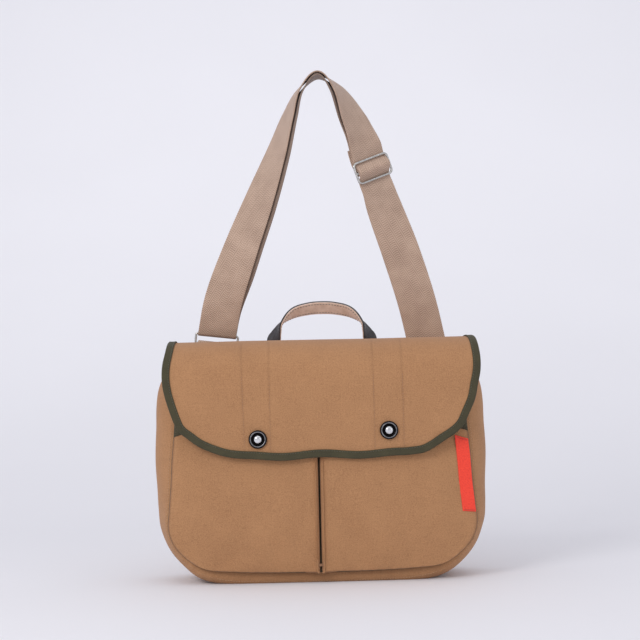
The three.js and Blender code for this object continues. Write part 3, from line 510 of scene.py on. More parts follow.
metalLooks = {
    "nickelWire": {"colour": (214, 212, 208), "dim": (168, 166, 163), "roughness": 0.22},
    "capBevel": {"colour": (46, 43, 45), "dim": (24, 22, 23), "roughness": 0.3},
    "capRing": {"colour": (150, 149, 150), "dim": (96, 95, 97), "roughness": 0.3},
    "capRecess": {"colour": (22, 20, 21), "dim": (12, 11, 12), "roughness": 0.45},
    "capDome": {"colour": (235, 236, 238), "dim": (196, 197, 200), "roughness": 0.16},
}


def metalMaterial(name, look):
    material, tree, shader = startMaterial(name, look["roughness"], metallic=1.0)
    place = bodyPlace(tree)
    scuff = grainOf(tree, place, 420, 4)
    scratch = grainOf(tree, place, 300, 3, (1, 14, 4))
    tone = calc(tree, "ADD", calc(tree, "MULTIPLY", scuff, 0.6), calc(tree, "MULTIPLY", scratch, 0.4))
    colour = rampOf(tree, tone, [(0.35, linear(*look["dim"])), (0.6, linear(*look["colour"]))])
    tree.links.new(colour, shader.inputs["Base Color"])
    rough = calc(tree, "MULTIPLY_ADD", scuff, 0.22, look["roughness"] - 0.08)
    tree.links.new(rough, shader.inputs["Roughness"])
    bumpOf(tree, scratch, 0.12, 0.0001, shader)
    return material


labelLook = {"light": (255, 84, 56), "mid": (254, 66, 44), "dark": (216, 50, 34), "pitch": 0.7}


def labelMaterial(name, look):
    # flat printed ribbon with a fine ribbed weave, left bare
    material, tree, shader = startMaterial(name, 0.65, sheen=0.03)
    vector, u, v = clothPlace(tree)
    ribs = calc(tree, "SINE", calc(tree, "MULTIPLY", v, 2 * math.pi / (look["pitch"] * mm)))
    ribs = calc(tree, "MULTIPLY_ADD", ribs, 0.5, 0.5)
    grain = grainOf(tree, vector, 500, 3)
    tone = calc(tree, "ADD", calc(tree, "MULTIPLY", ribs, 0.2), calc(tree, "MULTIPLY", grain, 0.75))
    colour = rampOf(tree, tone, [(0.2, linear(*look["dark"])), (0.45, linear(*look["mid"])),
                                 (0.8, linear(*look["light"]))])
    tree.links.new(colour, shader.inputs["Base Color"])
    bumpOf(tree, ribs, 0.5, 0.00015, shader)
    return material


threadLooks = {
    "canvasThread": {"light": (206, 164, 124), "dark": (158, 116, 80)},
    "lineThread": {"light": (170, 126, 90), "dark": (140, 100, 70)},
    "tapeThread": {"light": (88, 84, 64), "dark": (58, 55, 41)},
    "leatherThread": {"light": (96, 88, 84), "dark": (58, 54, 53)},
    "webThread": {"light": (186, 164, 150), "dark": (140, 118, 104)},
    "blackThread": {"light": (60, 50, 46), "dark": (26, 22, 20)},
    "labelThread": {"light": (232, 74, 54), "dark": (172, 40, 30)},
}


def threadMaterial(name, look):
    material, tree, shader = startMaterial(name, 0.65, sheen=0.2)
    ply = grainOf(tree, bodyPlace(tree), 2600, 2)
    colour = rampOf(tree, ply, [(0.35, linear(*look["dark"])), (0.65, linear(*look["light"]))])
    tree.links.new(colour, shader.inputs["Base Color"])
    bumpOf(tree, ply, 0.4, 0.0002, shader)
    return material


canvas = canvasMaterial("waxedCanvas", canvasLook)
lining = canvasMaterial("darkLining", liningLook)
twillTape = tapeMaterial("oliveTwillTape", tapeLook)
webbing = webMaterial("strapWebbing", webLook)
darkLeather = leatherMaterial("darkHandleLeather", hideLook, 0.5, 900)
fleshLeather = leatherMaterial("tanUnderside", fleshLook, 0.7, 1300)
orangeTape = labelMaterial("orangeRibbon", labelLook)
metals = {name: metalMaterial(name, look) for name, look in metalLooks.items()}
threads = {name: threadMaterial(name, look) for name, look in threadLooks.items()}
print("materials made")


body = {"width": 366, "height": 264, "depth": 98, "frontTaper": 8, "backTaper": 4,
        "gussetSwell": 25, "panelSwell": 3, "wall": 2, "gap": 0.3, "cornerRow": 10 / 14}
seamRows = {
    "half": [0.942, 0.945, 0.951, 0.962, 0.978, 0.989, 1.003, 1.012, 0.978, 0.885, 0.765, 0.590,
             0.400, 0.200, 0.000],
    "up": [1.000, 0.905, 0.800, 0.690, 0.570, 0.450, 0.345, 0.260, 0.185, 0.114, 0.070, 0.057,
           0.051, 0.049, 0.049],
    "swell": [0.36, 0.90, 1.10, 1.06, 0.94, 0.82, 0.68, 0.52, 0.46, 0.50, 0.62, 0.70, 0.70, 0.70,
              0.70],
    "square": [2.2, 2.3, 2.4, 2.4, 2.4, 2.5, 2.6, 2.8, 3.2, 5, 9, 14, 14, 14, 14],
}


def frontSeamY(z):
    return -body["depth"] / 2 + body["frontTaper"] * smooth(z / body["height"], 0.35, 1.05)


def backSeamY(z):
    return body["depth"] / 2 - body["backTaper"] * smooth(z / body["height"], 0.2, 1)


def outlineX(place):
    return spline(seamRows["half"], place) * body["width"] / 2


def outlineZ(place):
    return spline(seamRows["up"], place) * body["height"]


def gussetFace(u, v):
    # u down one side, along the base and up the other; v from the front seam to the back one
    step = 1e-3
    place = 1 - np.abs(2 * u - 1)
    side = np.where(u < 0.5, -1.0, 1.0)

    def outline(share):
        part = 1 - np.abs(2 * share - 1)
        return np.where(share < 0.5, -1.0, 1.0) * outlineX(part), outlineZ(part)

    x, z = side * outlineX(place), outlineZ(place)
    x1, z1 = outline(np.minimum(u + step, 1))
    x0, z0 = outline(np.maximum(u - step, 0))
    length = np.hypot(x1 - x0, z1 - z0)
    dx, dz = (x1 - x0) / length, (z1 - z0) / length
    belly = 1 - np.abs(2 * v - 1) ** spline(seamRows["square"], place)
    swell = spline(seamRows["swell"], place) * body["gussetSwell"] * belly
    return points3(x + dz * swell, lerp(frontSeamY(z), backSeamY(z), v), np.maximum(z - dx * swell, 0))


# soft folds of the gusset: u along it, v across it, both as shares, depth in mm
gussetFolds = [
    {"u": 0.265, "v": 0.22, "long": 0.045, "wide": 0.20, "lean": 0.9, "depth": -1.6},
    {"u": 0.300, "v": 0.40, "long": 0.020, "wide": 0.30, "lean": 0.4, "depth": 1.0},
    {"u": 0.180, "v": 0.60, "long": 0.060, "wide": 0.16, "lean": -1.2, "depth": -1.3},
    {"u": 0.090, "v": 0.45, "long": 0.035, "wide": 0.24, "lean": 0.8, "depth": -1.2},
    {"u": 0.730, "v": 0.35, "long": 0.028, "wide": 0.22, "lean": -0.8, "depth": -1.5},
    {"u": 0.820, "v": 0.58, "long": 0.060, "wide": 0.15, "lean": 1.2, "depth": -1.3},
    {"u": 0.910, "v": 0.40, "long": 0.035, "wide": 0.24, "lean": -0.6, "depth": -1.2},
]
seamRoll = {"depth": 1.5, "reach": 2.6, "pucker": 0.35, "puckerPitch": 15.0}


def seamDip(distance):
    # the cloth turns in towards its seam
    return -seamRoll["depth"] * np.exp(-(distance / seamRoll["reach"]) ** 2)


def gussetRelief(u, v, points):
    edge = np.minimum(v, 1 - v) * body["depth"]
    relief = seamDip(edge)
    for fold in gussetFolds:
        du = (u - fold["u"]) - fold["lean"] * 0.06 * (v - fold["v"])
        dv = v - fold["v"]
        relief = relief + fold["depth"] * np.exp(-(du / fold["long"]) ** 2 - (dv / fold["wide"]) ** 2) \
            * smooth(edge, 2, 14)
    run = u * 930
    pucker = np.sin(2 * np.pi * run / seamRoll["puckerPitch"] + 3 * np.sin(u * 31))
    relief = relief + seamRoll["pucker"] * pucker * np.exp(-((edge - 5) / 6) ** 2)
    swell = softNoise(points, 48, 3.7) * 1.1 * smooth(edge, 0, 16)
    onFloor = smooth(points[..., 2], 0.0, 9.0)
    return (relief + swell) * lerp(0.0, 1.0, onFloor)


def gussetDarkening(u, v, points):
    edge = np.minimum(v, 1 - v) * body["depth"]
    seam = 0.42 * np.exp(-(edge / 1.3) ** 2)
    # soiled along the seams, and darker towards the bottom
    low = 0.25 * (1 - smooth(points[..., 2], 0, 14))
    return np.clip(seam + low + 0.05 * softNoise(points, 20, 9.1), 0, 1)


def aboveFloor(points):
    points = points.copy()
    points[..., 2] = np.maximum(points[..., 2], body["wall"])
    return points


gussetV = (1 - np.cos(np.pi * np.linspace(0, 1, 53))) / 2
gusset = sheetPiece("gussetCloth", gussetFace, np.linspace(0, 1, 331), gussetV, body["wall"], -1,
                    gussetRelief, gussetDarkening, aboveFloor)
dress(gusset, canvas, "canvas", "gusset")
print("gusset sewn")


def panelSpot(u, v):
    place = v * body["cornerRow"]
    basePlace = 1 - np.abs(u) * (1 - body["cornerRow"])
    corner = body["cornerRow"] * np.ones_like(v)
    share = v ** 3
    x = u * outlineX(place) + (np.sign(u) * outlineX(basePlace) - u * outlineX(corner)) * share
    z = outlineZ(place) + (outlineZ(basePlace) - outlineZ(corner)) * share
    return x, z


def panelBelly(u, v):
    return body["panelSwell"] * (1 - u * u) * np.sin(np.pi * np.clip(v, 0, 1))


def frontPanelFace(u, v):
    x, z = panelSpot(2 * u - 1, v)
    return points3(x, frontSeamY(z) - body["gap"] - body["wall"] - panelBelly(2 * u - 1, v), z)


def backPanelFace(u, v):
    x, z = panelSpot(2 * u - 1, v)
    flat = smooth(v, 0.1, 0.35)
    return points3(x, backSeamY(z) + body["gap"] + body["wall"] + panelBelly(2 * u - 1, v) * flat, z)


def edgeOfPanel(u, v):
    # rough distance in mm to the sewn edge of a panel
    return np.minimum(np.minimum(u, 1 - u) * 2 * 178, (1 - v) * 250)


backFolds = [
    {"x": -60, "z": 90, "long": 75, "wide": 15, "lean": 28, "depth": -1.1},
    {"x": 40, "z": 120, "long": 90, "wide": 18, "lean": -22, "depth": 0.9},
    {"x": 110, "z": 60, "long": 50, "wide": 13, "lean": -48, "depth": -1.1},
    {"x": -130, "z": 55, "long": 45, "wide": 12, "lean": 50, "depth": -1.0},
]


def foldsOf(folds, x, z):
    relief = np.zeros_like(x)
    for fold in folds:
        lean = math.radians(fold["lean"])
        dx, dz = x - fold["x"], z - fold["z"]
        along = dz * math.cos(lean) + dx * math.sin(lean)
        aside = dx * math.cos(lean) - dz * math.sin(lean)
        relief += fold["depth"] * np.exp(-(along / fold["long"]) ** 2 - (aside / fold["wide"]) ** 2)
    return relief


def backRelief(u, v, points):
    edge = edgeOfPanel(u, v)
    relief = seamDip(edge)
    free = smooth(edge, 3, 25) * smooth(v, 0.16, 0.3)
    return relief + (foldsOf(backFolds, points[..., 0], points[..., 2])
                     + softNoise(points, 60, 1.3) * 0.9) * free


def panelWear(u, v, points):
    return np.clip(0.4 * np.exp(-(edgeOfPanel(u, v) / 1.3) ** 2) + 0.04 * softNoise(points, 25, 5.5), 0, 1)


edgeEven = np.concatenate([np.linspace(0, 0.03, 9)[:-1], np.linspace(0.03, 0.97, 70),
                           np.linspace(0.97, 1, 9)[1:]])
panelV = np.concatenate([np.linspace(0, 0.96, 70), np.linspace(0.96, 1, 9)[1:]])
backPanel = sheetPiece("backPanelCloth", backPanelFace, edgeEven, panelV, body["wall"], 1,
                       backRelief, panelWear)
dress(backPanel, canvas, "canvas", "back_panel")
frontPanel = sheetPiece("frontPanelCloth", frontPanelFace, np.linspace(0, 1, 61),
                        np.linspace(0, 1, 61), body["wall"], -1)
dress(frontPanel, lining, "lining", "front_panel")
print("panels sewn")


pocket = {"top": 178, "rise": 18, "swell": 9, "sideRound": 2.6, "baseRound": 3.2, "baseBelly": 0.12,
          "topBelly": 0.82, "slotWidth": 2, "slotOffset": -3.5, "pleatReturn": 5, "pleatRadius": 4,
          "pleatStack": 4.6, "foldShare": 0.8}
pocket["layer"] = 2 * body["gap"] + 2 * body["wall"]
cadFolds = [
    {"across": 0.80, "down": 0.62, "long": 0.34, "wide": 0.075, "lean": 24, "depth": -1.7},
    {"across": 0.62, "down": 0.72, "long": 0.30, "wide": 0.090, "lean": 32, "depth": 1.5},
    {"across": 0.34, "down": 0.86, "long": 0.20, "wide": 0.080, "lean": 48, "depth": -1.4},
    {"across": 0.22, "down": 0.50, "long": 0.30, "wide": 0.110, "lean": -12, "depth": 1.2},
]


def foldBulge(across, down):
    bulge = 0
    for fold in cadFolds:
        lean = math.radians(fold["lean"])
        x, z = across - fold["across"], fold["down"] - down
        along = z * math.cos(lean) + x * math.sin(lean)
        aside = x * math.cos(lean) - z * math.sin(lean)
        bulge = bulge + fold["depth"] * np.exp(-(along / fold["long"]) ** 2 - (aside / fold["wide"]) ** 2)
    return bulge


def panelZ(v):
    # height of the panel's side edge, the base's part included
    u = np.ones_like(v)
    return panelSpot(u, v)[1]


heightTable = panelZ(np.linspace(0, 1, 4001))


def pocketStart(across):
    height = pocket["top"] + pocket["rise"] * np.sin(np.pi * np.clip(across, 0, 1))
    return np.interp(-height, -heightTable, np.linspace(0, 1, 4001))


def pocketFront(side, across, down):
    v = lerp(pocketStart(across), 1, down)
    pleatX = pocket["slotOffset"] + side * pocket["slotWidth"] / 2
    pleatU = pleatX / outlineX(v * body["cornerRow"])
    u = lerp(side, pleatU, across)
    x, z = panelSpot(u, v)
    x = lerp(x, pleatX, smooth(across, 0.9, 1))
    rise = 1 - (1 - np.clip(across, 0, 1)) ** pocket["sideRound"]
    fall = 1 - down ** pocket["baseRound"]
    level = lerp(pocket["topBelly"], 1, np.sin(np.pi * down))
    belly = pocket["swell"] * rise * lerp(pocket["baseBelly"], 1, fall) * level
    belly = np.maximum(belly, pocket["pleatStack"] * smooth(across, 0.82, 1))
    edge = smooth(across, 0, 0.15) * smooth(1 - across, 0, 0.1) * smooth(1 - down, 0, 0.12)
    panelY = frontSeamY(z) - pocket["layer"] - panelBelly(u, v)
    return x, panelY - belly - foldBulge(across, down) * edge, z, panelY


pocketShares = {"front": 12 / 15, "turn": 2 / 15}


def pocketFace(side):
    def face(u, v):
        share, turnShare = pocketShares["front"], pocketShares["turn"]
        across = np.clip(u / share, 0, 1)
        x, y, z, panelY = pocketFront(side, across, v)
        rollX = pocket["slotOffset"] + side * (pocket["slotWidth"] / 2 + pocket["pleatRadius"])
        x = np.where(across > 0.9, lerp(x, rollX, smooth(across, 0.9, 1)), x)
        turn = np.clip((u - share) / turnShare, 0, 1)
        back = np.clip((u - share - turnShare) / (1 - share - turnShare), 0, 1)
        depth = panelY - y
        radius = np.minimum(pocket["pleatRadius"], depth * pocket["foldShare"])
        angle = turn * np.pi / 2
        turnX = pocket["slotOffset"] + side * (pocket["slotWidth"] / 2
                                               + pocket["pleatRadius"] * (1 - np.sin(angle)))
        turnY = y + radius * (1 - np.cos(angle)) + back * np.minimum(pocket["pleatReturn"], depth - radius)
        past = u > share
        return points3(np.where(past, turnX, x), np.where(past, turnY, y), z)
    return face


# finer folds on the pockets, in mm on the front
pocketCreases = [
    {"x": -26, "z": 62, "long": 52, "wide": 9, "lean": 14, "depth": -1.0},
    {"x": -46, "z": 52, "long": 44, "wide": 12, "lean": 24, "depth": 1.1},
    {"x": -106, "z": 34, "long": 22, "wide": 9, "lean": 62, "depth": -1.2},
    {"x": -72, "z": 118, "long": 40, "wide": 22, "lean": -35, "depth": 0.7},
    {"x": 34, "z": 60, "long": 55, "wide": 12, "lean": -16, "depth": -0.8},
    {"x": 92, "z": 42, "long": 40, "wide": 14, "lean": -52, "depth": 0.9},
    {"x": 128, "z": 88, "long": 34, "wide": 11, "lean": -30, "depth": -0.8},
    {"x": 60, "z": 128, "long": 36, "wide": 20, "lean": 30, "depth": 0.7},
]


def pocketEdge(u, v):
    across = np.clip(u / pocketShares["front"], 0, 1)
    return np.minimum(across * 168, (1 - v) * 165)


def pocketRelief(u, v, points):
    edge = pocketEdge(u, v)
    dip = seamDip(edge)
    across = np.clip(u / pocketShares["front"], 0, 1)
    free = smooth(edge, 2, 16) * smooth(1 - across, 0.0, 0.06)
    soft = foldsOf(pocketCreases, points[..., 0], points[..., 2]) + softNoise(points, 42, 7.7) * 0.75
    run = np.where(across * 168 < (1 - v) * 165, v * 165, across * 168)
    pucker = 0.3 * np.sin(2 * np.pi * run / 13 + 2 * np.sin(run / 19)) * np.exp(-((edge - 5) / 5) ** 2)
    return dip + soft * free + pucker * smooth(1 - across, 0, 0.05)


def pocketWearAndShade(u, v, points):
    edge = pocketEdge(u, v)
    # painted shade: the cloth turned into the slot's pleat is painted dark; the seam line is soiled
    slot = smooth(u, pocketShares["front"] + 0.02, 0.97)
    seam = 0.45 * np.exp(-(edge / 1.3) ** 2)
    return np.clip(seam + 0.75 * slot + 0.04 * softNoise(points, 24, 2.2), 0, 1)


pocketU = np.concatenate([np.linspace(0, 0.02, 7)[:-1], np.linspace(0.02, 0.8, 84),
                          np.linspace(0.8, 0.8 + 2 / 15, 12)[1:], np.linspace(0.8 + 2 / 15, 1, 5)[1:]])
pocketV = np.concatenate([np.linspace(0, 0.97, 92), np.linspace(0.97, 1, 8)[1:]])
for side, name, wall in ((-1, "left", -1), (1, "right", 1)):
    cloth = sheetPiece("pocketCloth" + name.capitalize(), pocketFace(side), pocketU, pocketV,
                       body["wall"], wall, pocketRelief, pocketWearAndShade)
    dress(cloth, canvas, "canvas", "pocket_" + name)
print("pockets sewn")


flap = {"overhang": 7, "hem": 153, "crown": 27, "seamDrop": 26, "air": 2.2, "lobe": 3, "curl": 3,
        "columns": 20, "rows": 27, "bindingFirst": 3}
flap["crownHeight"] = body["height"] + flap["crown"]
flap["seamHeight"] = body["height"] - flap["seamDrop"]
flap["backReach"] = float(backSeamY(flap["seamHeight"])) + 2 * body["gap"] + 2 * body["wall"]
flap["frontReach"] = (-float(frontSeamY(flap["hem"])) + pocket["layer"] + body["panelSwell"]
                      + pocket["swell"] + flap["air"] + body["wall"])
flap["half"] = body["width"] / 2 + flap["overhang"]
flapRows = {
    "reach": [-1.00, -0.997, -0.93, -0.68, -0.30, 0.10, 0.45, 0.70, 0.86, 0.93, 0.962, 0.98, 0.99,
             0.995, 1.00, 1.00, 1.00, 1.00, 1.00],
    "rise": [0.62, 0.80, 0.90, 0.972, 0.998, 1.000, 0.978, 0.914, 0.812, 0.700, 0.590, 0.470, 0.342,
             0.246, 0.174, 0.116, 0.060, 0.018, 0.000],
    "left": [0.918, 0.934, 0.950, 0.957, 0.958, 0.957, 0.960, 0.967, 0.982, 0.986, 0.977, 0.954,
             0.923, 0.891, 0.826, 0.771, 0.684, 0.589, 0.484],
    "right": [0.922, 0.944, 0.970, 0.984, 0.991, 0.995, 0.999, 1.004, 1.009, 1.004, 0.985, 0.967,
             0.925, 0.891, 0.836, 0.767, 0.705, 0.640, 0.535],
}
flapRows["rise"][0] = (flap["seamHeight"] - flap["hem"]) / (flap["crownHeight"] - flap["hem"])


def flapFace(u, v):
    across = 2 * u - 1
    reach = spline(flapRows["reach"], v)
    half = np.where(across < 0, spline(flapRows["left"], v), spline(flapRows["right"], v)) * flap["half"]
    rise = spline(flapRows["rise"], v)
    low = np.where(reach > 0.5, 1 - smooth(rise, 0, 0.42), 0)
    x = across * half
    alongHem = x / (flapRows["left"][-1] * flap["half"])
    lobe = np.sin(np.pi * np.clip(alongHem, -1, 1)) ** 2 * low
    curl = np.exp(-((alongHem + 0.6) / 0.42) ** 2) * low ** 2
    y = np.where(reach < 0, -reach * flap["backReach"], -reach * flap["frontReach"])
    z = lerp(flap["hem"], flap["crownHeight"], rise)
    return points3(x, y - flap["curl"] * curl, z - flap["lobe"] * lobe)


def flapSpot(x, z):
    # the flap's u and v at a place on its front, found by halving
    low, high, u = 0.5, 1.0, 0.5
    for k in range(40):
        v = (low + high) / 2
        u = 0.5 + 0.5 * x / (float(spline(flapRows["left" if x < 0 else "right"], v)) * flap["half"])
        if flapFace(np.array(u), np.array(v))[2] > z:
            low = v
        else:
            high = v
    return u, low


snaps = {"radius": 11, "height": 4.2, "post": 3, "socket": 7, "socketHeight": 1.6,
         "left": {"across": -0.413, "above": 21.6}, "right": {"across": 0.442, "above": 29}}
snapSpots = {}
for side in ("left", "right"):
    u, v = flapSpot(snaps[side]["across"] * body["width"] / 2, flap["hem"] + snaps[side]["above"])
    point = flapFace(np.array(u), np.array(v))
    normal = normalsOf(flapFace, np.array(u), np.array(v), 1)
    snapSpots[side] = (point, -normal if normal[1] > 0 else normal)

flapCreases = [
    {"x": -150, "z": 238, "long": 40, "wide": 16, "lean": 20, "depth": 0.8},
    {"x": 148, "z": 236, "long": 42, "wide": 16, "lean": -20, "depth": 0.8},
    {"x": -30, "z": 215, "long": 60, "wide": 26, "lean": 8, "depth": -0.6},
    {"x": 20, "z": 182, "long": 36, "wide": 20, "lean": -60, "depth": 0.6},
    {"x": -128, "z": 190, "long": 30, "wide": 12, "lean": 52, "depth": -0.7},
    {"x": 124, "z": 188, "long": 30, "wide": 12, "lean": -52, "depth": -0.7},
]
strapLines = [(-94.0, -91.5), (-60.8, -60.5), (63.6, 63.9), (98.4, 98.7)]   # x at the top, at the hem


def lineX(line, z):
    return lerp(line[1], line[0], np.clip((z - 160) / 121, 0, 1))


def flapRelief(u, v, points):
    x, y, z = points[..., 0], points[..., 1], points[..., 2]
    onFront = (y < -20).astype(float)
    relief = foldsOf(flapCreases, x, z) * onFront
    relief += softNoise(points, 55, 4.4) * 0.7 * smooth(v, 0.05, 0.2)
    for line in strapLines:
        relief += -0.28 * np.exp(-((x - lineX(line, z)) / 1.5) ** 2) * onFront
    for point, normal in snapSpots.values():
        far = np.linalg.norm(points - point, axis=-1)
        relief += -0.9 * np.exp(-(far / 15) ** 2)
    edge = np.minimum(np.minimum(u, 1 - u) * 2 * flap["half"], (1 - v) * 200)
    return relief * smooth(edge, 2, 12)


def flapWearAndShade(u, v, points):
    x, y, z = points[..., 0], points[..., 1], points[..., 2]
    mark = np.zeros_like(x)
    for line in strapLines:
        mark += 0.16 * np.exp(-((x - lineX(line, z)) / 1.3) ** 2) * (y < -20)
    # painted shade: the crown is painted a little darker; the marks along the strap lines are soiled
    # stitching
    crown = 0.05 * smooth(z, 262, 290)
    return np.clip(mark + crown + 0.04 * softNoise(points, 26, 6.1), 0, 1)


def withLines(values, extra):
    return np.unique(np.round(np.concatenate([values, extra]), 6))


lineU = []
for line in strapLines:
    for shift in (-2.4, -1.2, 0, 1.2, 2.4):
        lineU.append(0.5 + 0.5 * (line[0] + shift) / (0.985 * flap["half"]))
flapU = withLines(np.linspace(0, 1, 161), lineU)
flapV = np.linspace(0, 1, 136)
flapCloth = sheetPiece("flapCloth", flapFace, flapU, flapV, body["wall"], -1, flapRelief, flapWearAndShade)
dress(flapCloth, canvas, "canvas", "flap")


# binding folded round the flap's free edge
binding = {"width": 9.5, "wall": 0.9, "ease": 0.5, "pucker": 0.18, "stitchIn": 1.6}
firstV = flap["bindingFirst"] / flap["rows"]
edgeU = np.concatenate([np.zeros(220), np.linspace(0, 1, 260)[1:-1], np.ones(220)])
edgeV = np.concatenate([np.linspace(firstV, 1, 220), np.ones(258), np.linspace(1, firstV, 220)])
edgeNormals = -normalsOf(flapFace, edgeU, edgeV, 1)
edgePoints = flapFace(edgeU, edgeV)
gapRun = np.concatenate([[0], np.cumsum(np.linalg.norm(np.diff(edgePoints, axis=0), axis=1))])
evenRun = np.linspace(0, gapRun[-1], 620)
edgeMiddles = np.stack([np.interp(evenRun, gapRun, edgePoints[:, k]) for k in range(3)], axis=1)
edgeNormals = unit(np.stack([np.interp(evenRun, gapRun, edgeNormals[:, k]) for k in range(3)], axis=1))


def eased(values, passes):
    values = values.copy()
    for k in range(passes):
        values[1:-1] = (values[:-2] + 2 * values[1:-1] + values[2:]) / 4
    return values


edgeMiddles = eased(edgeMiddles, 14)
edgeNormals = unit(eased(edgeNormals, 30))
edgeMiddles = edgeMiddles - edgeNormals * body["wall"] / 2
bindAlong = unit(np.gradient(edgeMiddles, axis=0))
bindOut = -unit(np.cross(edgeNormals, bindAlong))
bindFacing = unit(np.cross(bindAlong, bindOut))
bindFacing *= np.sign(np.sum(bindFacing * edgeNormals, axis=1, keepdims=True))


def bindingSection():
    face = body["wall"] / 2 + binding["ease"]
    skin = face + binding["wall"]
    lip = binding["ease"] + binding["wall"]
    inner = lip - binding["width"]
    outside = [(inner, skin - 0.25), (inner + 0.3, skin)]
    outside += [(inner + binding["width"] * k / 6, skin) for k in (1, 2, 3, 4, 5)]
    turn = [math.radians(a) for a in (70, 45, 20, 0, -20, -45, -70)]
    outside += [(lip - 1.2 + 1.2 * math.cos(a), skin * math.sin(a)) for a in turn]
    outside += [(inner + binding["width"] * k / 6, -skin) for k in (5, 4, 3, 2, 1)]
    outside += [(inner + 0.3, -skin), (inner, -skin + 0.25)]
    inside = [(inner, -face), (lip - 2.2, -face), (binding["ease"], -face * 0.6),
              (binding["ease"], face * 0.6), (lip - 2.2, face), (inner, face)]
    return outside + inside, len(outside)


section, outsideCount = bindingSection()
section = np.array(section)
wave = np.sin(evenRun / 2.1 + 2 * np.sin(evenRun / 17)) * binding["pucker"]
bindStations = (edgeMiddles[:, None, :] + bindOut[:, None, :] * section[None, :, 0, None]
                + bindFacing[:, None, :] * section[None, :, 1, None])
puff = np.where(np.arange(len(section)) < outsideCount, np.sign(section[:, 1]), 0)
puff = puff * (np.abs(section[:, 0] - 1.4) > 5)
bindStations += bindFacing[:, None, :] * (wave[:, None] * puff[None, :] * 0.6)[:, :, None]
bindingPiece = sweepPiece("flapBindingTape", bindStations)
dress(bindingPiece, twillTape, "twill_tape", "flap_binding")

skinHeight = body["wall"] / 2 + binding["ease"] + binding["wall"]
stitchIn = binding["ease"] + binding["wall"] - binding["width"] + binding["stitchIn"]
lines = []
for sign in (1, -1):
    row = edgeMiddles + bindOut * stitchIn + bindFacing * sign * (skinHeight + 0.05)
    lines.append(spaced(row, bindFacing * sign, 3.1, 4))
stitchPiece("bindingStitches", lines, 2.3, 0.32, threads["tapeThread"], "twill_tape")
print("flap bound")


def lathePiece(name, profile, spot, materials, bands, steps=64):
    # profile of radius and height; bands says how many profile steps take each material
    point, normal = spot
    across = unit(np.cross(normal, np.array([0, 0, 1.0])))
    up = unit(np.cross(across, normal))
    points, faces, marks = [], [], []
    angles = 2 * np.pi * np.arange(steps) / steps
    rounds = across[None, :] * np.cos(angles)[:, None] + up[None, :] * np.sin(angles)[:, None]
    for radius, height in profile:
        points.append(point + rounds * max(radius, 0.01) + normal * height)
    points = np.concatenate(points)
    for r in range(len(profile) - 1):
        for k in range(steps):
            m = (k + 1) % steps
            faces.append([r * steps + k, r * steps + m, (r + 1) * steps + m, (r + 1) * steps + k])
            marks.append(bands[r])
    faces.append([k for k in range(steps)][::-1])
    faces.append([(len(profile) - 1) * steps + k for k in range(steps)])
    marks += [bands[0], bands[-1]]
    piece = makeMesh(name, points, faces)
    for material in materials:
        piece.data.materials.append(material)
    piece.data.polygons.foreach_set("material_index", marks)
    return piece


back = -body["wall"] - body["gap"]
capR, capH = snaps["radius"], snaps["height"]
capProfile = [
    (0.0, back - snaps["socketHeight"], 0), (snaps["socket"] - 0.3, back - snaps["socketHeight"], 0),
    (snaps["socket"], back - snaps["socketHeight"] + 0.3, 0), (snaps["socket"], back, 0),
    (snaps["post"], back, 0), (snaps["post"], 0.1, 0), (capR - 0.5, 0.0, 0), (capR, 0.45, 0),
    (capR * 0.995, 0.34 * capH, 0), (capR * 0.97, 0.48 * capH, 0), (capR * 0.90, 0.62 * capH, 0),
    (capR * 0.85, 0.67 * capH, 0), (capR * 0.80, 0.69 * capH, 1), (capR * 0.75, 0.67 * capH, 1),
    (capR * 0.70, 0.60 * capH, 2), (capR * 0.64, 0.44 * capH, 2), (capR * 0.58, 0.36 * capH, 2),
    (capR * 0.49, 0.36 * capH, 2), (capR * 0.46, 0.44 * capH, 2), (capR * 0.43, 0.60 * capH, 3),
    (capR * 0.37, 0.78 * capH, 3), (capR * 0.28, 0.92 * capH, 3), (capR * 0.16, 0.985 * capH, 3),
    (0.0, 1.0 * capH, 3),
]
for side in ("left", "right"):
    rows = [(r, h) for r, h, mark in capProfile]
    bands = [mark for r, h, mark in capProfile[1:]]
    cap = lathePiece("snapCap" + side.capitalize(), rows, snapSpots[side],
                     [metals["capBevel"], metals["capRing"], metals["capRecess"],
                      metals["capDome"]], bands)
    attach(cap, "root")
    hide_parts("snap_cap_" + side)
    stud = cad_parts["snap_stud_" + side]
    stud.data.materials.clear()
    stud.data.materials.append(metals["nickelWire"])
print("press studs set")


strap = {"width": 48, "wall": 1.8, "share": 0.71, "rise": 320.5, "lean": 21, "layerGap": 2.2,
         "layerShift": 4, "wire": 1.5, "sideGap": 0.8, "ringDrop": 12.6, "ringTilt": 7,
         "tabLength": 44, "tabWidth": 46, "sliderPlace": 0.692, "sliderReach": 13, "sliderSkew": 5,
         "ringCorner": 2.5, "sliderCorner": 3, "ringLift": 4, "togetherFrom": 6, "togetherTo": 45,
         "shiftFrom": 10, "shiftTo": 90, "tabClosed": 0.5, "tabGap": 0.35}
